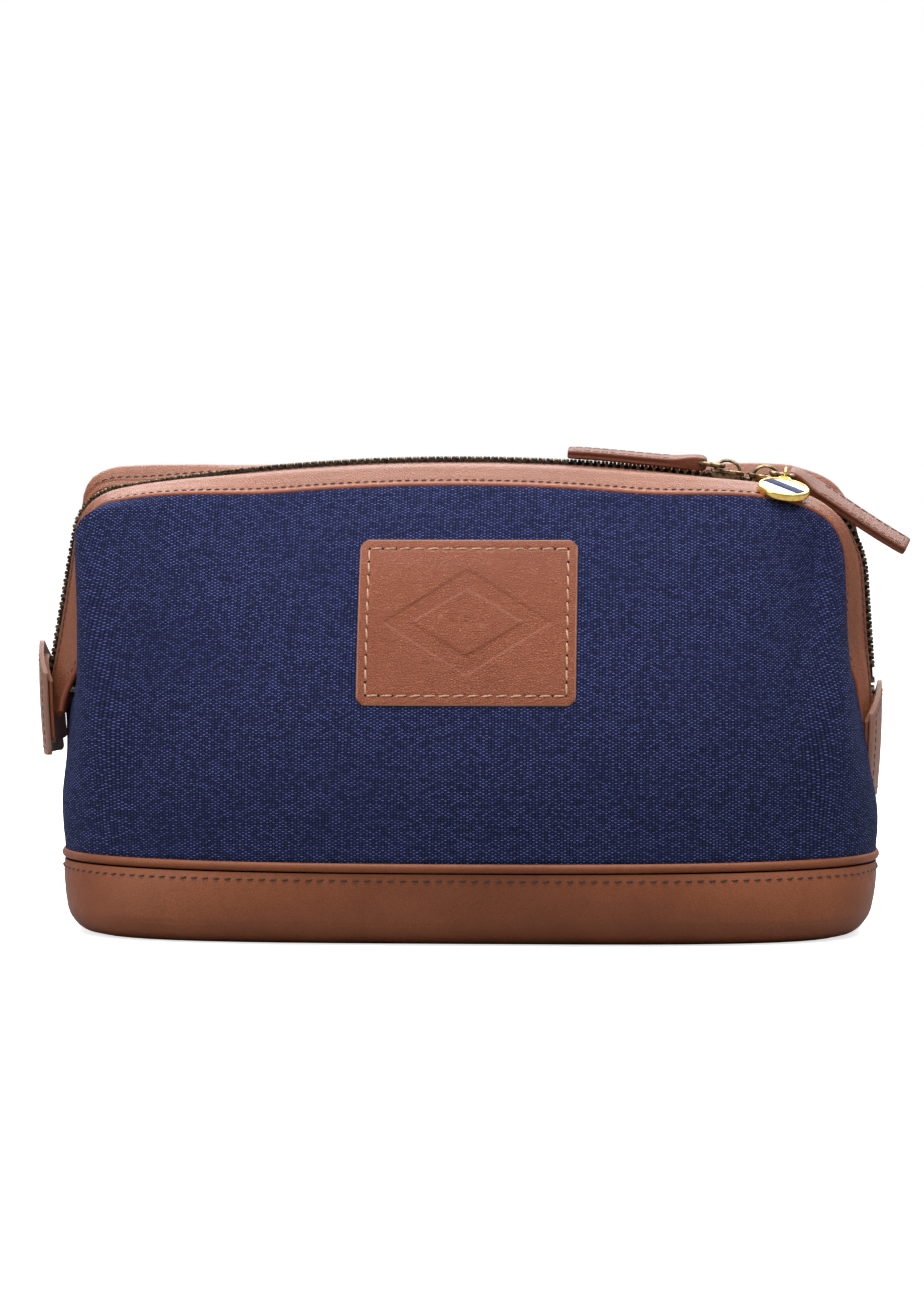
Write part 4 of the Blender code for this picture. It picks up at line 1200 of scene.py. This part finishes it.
def make_patch_stitches(at, half_width, half_height):
    """Pale saddle stitches round the patch, with a near-black disc between each pair: painted shade of a
    needle hole.
    """
    reach_x, reach_z = half_width - PATCH_SEAM, half_height - PATCH_SEAM
    corners = [(-reach_x, reach_z), (reach_x, reach_z), (reach_x, -reach_z), (-reach_x, -reach_z)]
    paths, hole_shade_spots = [], []
    for (x0, z0), (x1, z1) in zip(corners, corners[1:] + corners[:1]):
        points, normals = [], []
        count = round(math.hypot(x1 - x0, z1 - z0) / PATCH_PITCH)
        for i in range(4 * count + 1):
            x, z = mix(x0, x1, i / (4 * count)), mix(z0, z1, i / (4 * count))
            point, normal = at(x, z)
            points.append(point + normal * (0.15 + PATCH_THICK - 0.25) * MM)
            normals.append(normal)
            if i % 4 == 0 and i < 4 * count:
                hole_shade_spots.append((points[-1], normal))
        paths.append((points, normals))
    thread = MATERIALS["pale_thread"]
    row = stitch_row("patch_stitches", paths, thread, PATCH_PITCH * MM, 0.86, 0.30 * MM, 0.10)
    finish_piece(row, "tan_leather", (), "front_frame")
    parts = []
    # Each needle hole is a near-black sunk disc: painted shade, not a real hole in the leather.
    for point, normal in hole_shade_spots:
        side = normal.orthogonal().normalized()
        other = normal.cross(side)
        top = point + normal * 0.12 * MM
        rim = [top + side * y * MM + other * z * MM for y, z in circle((0, 0), 0.45, 10)]
        low = [p - normal * 0.5 * MM for p in rim]
        faces = [tuple(range(10)), tuple(range(10, 20))[::-1]]
        faces += [(i, (i + 1) % 10, 10 + (i + 1) % 10, 10 + i)[::-1] for i in range(10)]
        parts.append((rim + low, faces))
    finish_piece(joined("patch_needle_hole_shades", parts, MATERIALS["hole_shade"]), "tan_leather", (), "front_frame")


# ---------------------------------------------------------------- end tabs, pivots and stops


TAB_WRAP, TAB_LAYER = 3.2, 1.5  # how far the edges bend round the strips, and one layer's thickness


def tab_layer(name, side, size, x_inner, bend, material):
    """One leather layer of a tab, with round lower corners and a blunt point on top."""
    half, top, low, tip = size
    columns, rows, radius = 28, 24, 2.4
    rings = []
    for i in range(columns + 1):
        y = -half * math.cos(math.pi * i / columns)
        over = max(abs(y) - half + radius, 0)
        foot = low + radius - math.sqrt(max(radius**2 - over**2, 0))
        head = top - tip * (abs(y) / half) ** 1.25
        edge = math.sqrt(max(1 - (1 - min((half - abs(y)) / 0.6, 1)) ** 2, 0))
        thickness = TAB_LAYER * mix(0.35, 1.0, edge)
        outer, inner = [], []
        for j in range(rows + 1):
            z = mix(foot, head, j / rows)
            middle = MOUTH_X / MM + side * (x_inner + TAB_LAYER / 2)
            for points, way in ((outer, 1), (inner, -1)):
                points.append(bend(Vector((middle + side * way * thickness / 2, y, z)) * MM))
        rings.append(outer + inner[::-1])
    return solid(name, rings, material, sharp=60)


def tab_seam(size, x_face, side, bend):
    """Points of the stitch line round a tab, inside its edge."""
    half, top, low, tip = size
    inset = 2.3
    wide, foot, shoulder = half - inset, low + inset, top - tip - 0.6
    corners = [(0, foot), (wide, foot), (wide, shoulder), (0, top - inset)]
    corners += [(-wide, shoulder), (-wide, foot), (0, foot)]
    points = []
    for (y0, z0), (y1, z1) in zip(corners, corners[1:]):
        for i in range(8):
            y, z = mix(y0, y1, i / 8), mix(z0, z1, i / 8)
            points.append(bend(Vector((MOUTH_X / MM + side * x_face, y, z)) * MM))
    return points + points[:1]


def make_tab(side):
    """Two leather layers, curved round the feet of the strips and stitched along the edge."""
    name = END[side]
    low_corner, high_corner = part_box(f"end_tab_{name}")
    top, low = high_corner.z / MM, low_corner.z / MM
    half = high_corner.y / MM
    inner = min(abs(low_corner.x - MOUTH_X), abs(high_corner.x - MOUTH_X)) / MM - 1.2

    def bend(place):
        drop = max((top - place.z / MM) / (top - low), 0)
        curl = 2.2 * drop * drop - 0.8 * drop
        wrap = TAB_WRAP * (place.y / MM / half) ** 2
        place.x -= side * (curl + wrap) * MM
        return place

    outer_size = (half, top, low, 10)
    under_size = (half - 0.6, top - 4.5, low + 4.0, 8)
    outer = tab_layer(f"tab_outer_{name}", side, outer_size, inner + TAB_LAYER + 0.15, bend, MATERIALS["tab"])
    layer = tab_layer(f"tab_under_{name}", side, under_size, inner, bend, MATERIALS["base"])
    finish_piece(outer, "tan_leather", [f"end_tab_{name}"], "root")
    finish_piece(layer, "tan_leather", (), "root")
    points = tab_seam(outer_size, inner + 2 * TAB_LAYER + 0.15, side, bend)
    normals = [Vector((side, 0, 0))] * len(points)
    thread = MATERIALS["thread"]
    row = stitch_row(f"tab_stitches_{name}", [(points, normals)], thread, radius=FINE_STITCH_RADIUS, rise=0.2)
    finish_piece(row, "tan_leather", (), "root")
    paint_node(f"pivot_pin_{name}", "steel")
    paint_node(f"zip_stop_{name}", "brass")


# ---------------------------------------------------------------- sliders, rings, pulls


def slider_matrix(ring_joint, towards):
    """Matrix of a slider from its ring's joint: local X along the zip, local Z out of it."""
    bar = joint_point(ring_joint) - ARCH_CENTRE
    angle = math.atan2(bar.x, bar.z) - math.atan2(towards * RING_BAR_X, ARCH_RADIUS + RING_HEIGHT)
    place = ARCH_CENTRE + Vector((math.sin(angle), 0, math.cos(angle))) * ARCH_RADIUS
    return Matrix.Translation(place) @ Matrix.Rotation(angle, 4, "Y")


def rounded_plate(outline, low, high, chamfer=0.3):
    """Rings of a plate with softened edges. Outline and heights in millimetres."""
    rings = []
    for z, inset in ((low, chamfer), (low + chamfer, 0), (high - chamfer, 0), (high, chamfer)):
        ring = []
        for x, y in outline:
            reach = math.hypot(x, y)
            scale = (reach - inset) / reach
            ring.append(Vector((x * scale * MM, y * scale * MM, z * MM)))
        rings.append(ring)
    return rings


def slider_shield():
    points = [(-5.3, 0), (-5.2, 2.2), (-4.2, 3.5), (0.2, 4.3), (3.8, 4.4), (5.2, 3.4), (5.4, 0)]
    half = curve_through(points, 3)
    return [tuple(p) for p in half] + [(p.x, -p.y) for p in half[-2:0:-1]]


def make_slider(name, matrix, nose):
    place = matrix @ Matrix.Scale(nose, 4, (1, 0, 0))
    shield = slider_shield()
    parts = [rounded_plate(shield, 1.4, 2.8), rounded_plate(shield, -4.4, -3.4)]
    post = [(2.4, -0.45), (2.4, 0.45), (4.9, 0.7), (4.9, -0.7)]
    parts.append([[Vector((x * MM, y * MM, z * MM)) for x, y in post] for z in (-3.9, 2.0)])
    for side in (-1, 1):
        flange = [(-4.8, 3.0), (0.5, 3.9), (4.2, 3.9), (4.2, 3.4), (0.7, 3.4), (-4.8, 2.6)]
        parts.append([[Vector((x * MM, side * y * MM, z * MM)) for x, y in flange] for z in (-0.2, 2.0)])
    bridge = []
    for i in range(21):
        angle = math.pi * i / 20
        out = Vector((-math.cos(angle), 0, math.sin(angle)))
        centre = Vector((-4.0 * math.cos(angle), 0, 2.2 + 3.5 * math.sin(angle)))
        wide = 1.15 + 0.35 * math.sin(angle)
        section = []
        for a, b in circle((0, 0), 1, 12):
            section.append((centre + out * a * 0.55 + Vector((0, b * wide, 0))) * MM)
        bridge.append(section)
    parts.append(bridge)
    pieces = []
    for rings in parts:
        pieces.append(ring_part(placed(rings, place)))
    slider = joined(f"{name}_body", pieces, MATERIALS["brass"], 40)
    finish_piece(slider, "antique_brass", [name], name)


def ring_part(rings):
    """(vertices, faces) of one closed solid over rings, facing out."""
    vertices = [point for ring in rings for point in ring]
    faces = tube_faces(len(rings), len(rings[0]))
    if faces_inwards(vertices, faces):
        faces = [face[::-1] for face in faces]
    return vertices, faces


def ring_path():
    """Rounded rectangle in the local XY plane, from the bar under the bridge at X = 0."""
    corner, steps = 1.5 * MM, 8
    points = []
    middle = RING_LENGTH / 2
    for quarter, (sx, sy) in enumerate(((1, 1), (-1, 1), (-1, -1), (1, -1))):
        cx = middle + sx * (middle - corner)
        cy = sy * (RING_HALF_WIDTH - corner)
        for i in range(steps + 1):
            angle = math.pi / 2 * (quarter + i / steps)
            points.append(Vector((cx + corner * math.cos(angle), cy + corner * math.sin(angle), 0)))
    return points


def make_ring(side_name, matrix):
    rings = placed(tube_rings(ring_path(), 0.75 * MM, 14, True), matrix)
    ring = solid(f"wire_ring_{side_name}", rings, MATERIALS["brass"], loop=True)
    finish_piece(ring, "antique_brass", [f"pull_ring_{side_name}"], f"ring_{side_name}")


def pull_section(half_width, half_height, groove):
    """Rounded section of a folded strap, with a groove along each side between its two layers."""
    points = []
    corner = min(0.7, half_height * 0.8)
    for quarter, (sy, sz) in enumerate(((1, 1), (-1, 1), (-1, -1), (1, -1))):
        cy, cz = sy * (half_width - corner), sz * (half_height - corner)
        for i in range(5):
            angle = math.pi / 2 * (quarter + i / 4)
            points.append((cy + corner * math.cos(angle), cz + corner * math.sin(angle)))
        if quarter in (1, 3):
            points.append((sy * (half_width - groove), 0))
    return points


# Stations of a pull: distance, half width and half height, in millimetres
PULL_FOLD = [(-2.3, 0.5, 0.4), (-2.0, 2.2, 1.5), (-0.8, 3.0, 2.2), (1.2, 3.1, 2.35), (4.0, 3.5, 2.1)]
PULL_FOLD += [(7.5, 4.4, 1.6), (11, 4.6, 1.45), (24, 4.6, 1.4), (38, 4.6, 1.4)]
PULL_TIP = [(40, 4.6, 1.4), (41.3, 4.55, 1.35), (41.8, 4.4, 1.2), (PULL_LENGTH, 4.1, 0.9)]


def make_pull(side_name, matrix, wave):
    """Leather strap folded round the ring: swollen at the fold, flat and stitched beyond it."""
    stations = curve_through(PULL_FOLD, 4) + [Vector(point) for point in PULL_TIP]
    rings, tops = [], []
    for x, half_width, half_height in stations:
        groove = 0.45 * smooth_share((x - 3) / 5)
        drop = wave * smooth_share((x - 6) / 30)
        section = pull_section(half_width, half_height, groove)
        rings.append([Vector((x, y, z + drop)) * MM for y, z in section])
        if 9 < x < PULL_LENGTH - 1.6:
            tops.append((x, half_width, half_height, drop))
    strap = solid(f"pull_strap_{side_name}", placed(rings, matrix), MATERIALS["pull"], sharp=60)
    finish_piece(strap, "tan_leather", [f"leather_pull_{side_name}"], f"pull_{side_name}")
    paths = []
    turn = matrix.to_3x3()
    for sy, sz in ((1, 1), (-1, 1), (1, -1), (-1, -1)):
        points = [matrix @ (Vector((x, sy * (w - 1.3), sz * h + drop)) * MM) for x, w, h, drop in tops]
        paths.append((points, [turn @ Vector((0, 0, sz))] * len(points)))
    last = tops[-1]
    for sz in (1, -1):
        points = [matrix @ (Vector((last[0], y, sz * last[2] + last[3])) * MM) for y in (-3.3, 0, 3.3)]
        paths.append((points, [turn @ Vector((0, 0, sz))] * 3))
    thread = MATERIALS["thread"]
    row = stitch_row(f"pull_stitches_{side_name}", paths, thread, radius=FINE_STITCH_RADIUS, rise=-0.3)
    finish_piece(row, "tan_leather", (), f"pull_{side_name}")


# ---------------------------------------------------------------- charm


def disc_rings(centre, across, along, out, rows, sides=72):
    rings = []
    for radius, height in rows:
        section = circle((0, 0), radius * MM, sides)
        rings.append([centre + along * a + across * b + out * height * MM for a, b in section])
    return rings


def make_charm(matrix):
    """Jump ring and medallion: a gold rim round white enamel with a plain navy band across it."""
    turn = matrix.to_3x3()
    link = joint_point("charm_swing")
    local_x = turn @ Vector((1, 0, 0))
    down = turn @ Vector((0, -math.cos(CHARM_SLOPE), -math.sin(CHARM_SLOPE)))
    out = turn @ Vector((0, -math.sin(CHARM_SLOPE), math.cos(CHARM_SLOPE)))
    bar = joint_point("charm_ring_swing")
    centre = bar + turn @ Vector((0, -0.9 * MM, -0.3 * MM))
    loop = [centre + turn @ Vector((0, y, z)) for y, z in circle((0, 0), 2.5 * MM, 40)]
    jump = solid("jump_ring_wire", tube_rings(loop, 0.5 * MM, 12, True), MATERIALS["gold"], loop=True)
    finish_piece(jump, "polished_gold", ["charm_jump_ring"], "charm_ring")

    eye = link + down * 1.7 * MM
    middle = eye + down * 10.1 * MM
    rim = 8.2
    rows = curve_through([(rim - 1.1, -1.5), (rim - 0.35, -1.35), (rim, -0.8), (rim, 0.5), (rim - 0.25, 1.0),
                          (rim - 0.6, 1.15), (rim - 0.95, 1.05), (rim - 1.1, 0.5)], 3)
    body = ring_part(disc_rings(middle, local_x, down, out, rows))
    circle_points = [eye + down * a + local_x * b for a, b in circle((0, 0), 1.7 * MM, 32)]
    eye_rings = tube_rings(circle_points, 0.5 * MM, 12, True)
    eyelet = ring_part(eye_rings + eye_rings[:1])
    medallion = joined("medallion_rim", [body, eyelet], MATERIALS["gold"], 40)
    finish_piece(medallion, "polished_gold", ["charm_medallion"], "charm")

    inner = rim - 1.15
    rows = [(inner, 0.45), (inner, 0.85), (inner - 0.3, 1.0), (inner - 1.5, 1.08)]
    face = solid("medallion_enamel", disc_rings(middle, local_x, down, out, rows), MATERIALS["enamel"])
    finish_piece(face, "white_enamel", ["charm_enamel"], "charm")
    make_charm_band(middle, (local_x + down * 0.75).normalized(), out, inner)


def make_charm_band(middle, run, out, radius):
    """A straight enamel band across the face."""
    across = out.cross(run).normalized()
    half = 1.9
    rings = []
    steps = 24
    reach = math.sqrt(radius**2 - half**2) - 0.15
    for i in range(steps + 1):
        x = mix(-reach, reach, i / steps)
        lift = 1.18 + 0.06 * (1 - (x / reach) ** 2)
        section = [(-half, 0.6), (half, 0.6), (half, lift)]
        section += [(half - 0.2, lift + 0.1), (0.2 - half, lift + 0.1), (-half, lift)]
        rings.append([middle + (run * x + across * y + out * z) * MM for y, z in section])
    band = solid("medallion_band", rings, MATERIALS["navy_enamel"], sharp=30)
    finish_piece(band, "white_enamel", (), "charm")


# ---------------------------------------------------------------- stage

FLOOR_GLOW = 0.7
SKY_LOW, SKY_HIGH = (0.27, 0.27, 0.28), (0.70, 0.70, 0.70)
LENS = 131.3
AIM = Vector((-0.0026, 0, 0.0893))
CAMERA_DISTANCE, CAMERA_HEIGHT, CAMERA_TURN = 1.5, 0.1592, math.radians(3)
# Place, target, size and power of each light
LIGHTS = {
    "key": ((0.0, -0.3, 1.5), (0, 0, 0.08), (1.8, 0.8), 30),
    "back": ((0, 0.8, 0.9), (0, 0, 0.13), (1.6, 0.5), 13),
    "side": ((-1.2, -0.7, 0.5), (0, 0, 0.08), (0.6, 0.6), 3),
}


def camera_share(tree):
    """1 where the camera looks straight at a surface, 0 for light that bounces off it."""
    return tree.nodes.new("ShaderNodeLightPath").outputs["Is Camera Ray"]


def make_floor():
    """White to the camera, dim for the light it throws back, with the bag's soft shadow on it."""
    mesh = bpy.data.meshes.new("floor")
    size = 6.0
    corners = [(-size, -size, 0), (size, -size, 0), (size, size, 0), (-size, size, 0)]
    mesh.from_pydata(corners, [], [(0, 1, 2, 3)])
    floor = bpy.data.objects.new("floor", mesh)
    bpy.context.collection.objects.link(floor)
    material, tree, shader = new_material("pale_floor", 0.9, Specular_IOR_Level=0.0, Emission_Strength=1.0)
    seen = camera_share(tree)
    shade = clouds(tree, coordinates(tree), 300, 2.0)
    base = colour_mix(tree, shade, (0.92, 0.92, 0.92), (0.95, 0.95, 0.95))
    tree.links.new(colour_mix(tree, seen, (0.34, 0.34, 0.34), base), shader.inputs["Base Color"])
    glow = colour_mix(tree, seen, (0, 0, 0), (FLOOR_GLOW, FLOOR_GLOW, FLOOR_GLOW))
    tree.links.new(glow, shader.inputs["Emission Color"])
    mesh.materials.append(material)


def make_world():
    """White behind the bag, and for its light a sky that is brighter above."""
    world = bpy.data.worlds.new("studio")
    world.use_nodes = True
    tree = world.node_tree
    split = tree.nodes.new("ShaderNodeSeparateXYZ")
    tree.links.new(tree.nodes.new("ShaderNodeTexCoord").outputs["Generated"], split.inputs[0])
    high = span(tree, split.outputs[2], -0.1, 0.9)
    sky = colour_mix(tree, high, SKY_LOW, SKY_HIGH)
    background = tree.nodes["Background"]
    tree.links.new(colour_mix(tree, camera_share(tree), sky, (1.0, 1.0, 1.0)), background.inputs["Color"])
    background.inputs["Strength"].default_value = 1.0
    bpy.context.scene.world = world
    bpy.context.scene.view_settings.view_transform = "Standard"


def make_light(name, place, target, size, power):
    light = bpy.data.lights.new(name, "AREA")
    light.shape = "RECTANGLE"
    light.size, light.size_y = size
    light.energy = power
    lamp = bpy.data.objects.new(name, light)
    bpy.context.collection.objects.link(lamp)
    lamp.location = place
    lamp.rotation_euler = (Vector(target) - Vector(place)).to_track_quat("-Z", "Y").to_euler()


def make_camera():
    camera = bpy.data.cameras.new("camera")
    camera.sensor_width = 36
    camera.lens = LENS
    camera.clip_start = 0.05
    obj = bpy.data.objects.new("camera", camera)
    bpy.context.collection.objects.link(obj)
    reach = CAMERA_DISTANCE
    obj.location = (AIM.x + reach * math.sin(CAMERA_TURN), -reach * math.cos(CAMERA_TURN), CAMERA_HEIGHT)
    obj.rotation_euler = (AIM - obj.location).to_track_quat("-Z", "Y").to_euler()
    bpy.context.scene.camera = obj


def main():
    make_band()
    make_base_trim()
    make_tray_lining()

    left = slider_matrix("ring_left_lift", -1)
    right = slider_matrix("ring_right_lift", 1)
    places = [matrix.translation.x - MOUTH_X for matrix in (left, right)]
    sliders = [ARCH_RADIUS * math.asin(x / ARCH_RADIUS) for x in places]
    for side in (-1, 1):
        make_strip(side)
        make_tape(side)
        make_teeth(side, sliders)
        make_wire_casing(side)
        make_wall(side)
        make_tab(side)
    make_patch()

    make_slider("slider_left", left, 1)
    make_slider("slider_right", right, -1)
    half_turn = Matrix.Rotation(math.pi, 4, "Z")
    for name, matrix, towards, tilt, wave, roll in (
        ("left", left, -1, PULL_DIP, 0.8, math.radians(-8)),
        ("right", right, 1, PULL_DROOP, -1.2, math.radians(24)),
    ):
        facing = matrix @ Matrix.Translation((towards * RING_BAR_X, 0, RING_HEIGHT))
        if towards < 0:
            facing = facing @ half_turn
        make_ring(name, facing)
        bar = facing @ Matrix.Translation((RING_LENGTH, 0, 0)) @ Matrix.Rotation(tilt, 4, "Y")
        make_pull(name, bar @ Matrix.Rotation(roll, 4, "X"), wave)
    make_charm(right)

    make_floor()
    make_world()
    for name, setting in LIGHTS.items():
        make_light(name, *setting)
    make_camera()


main()
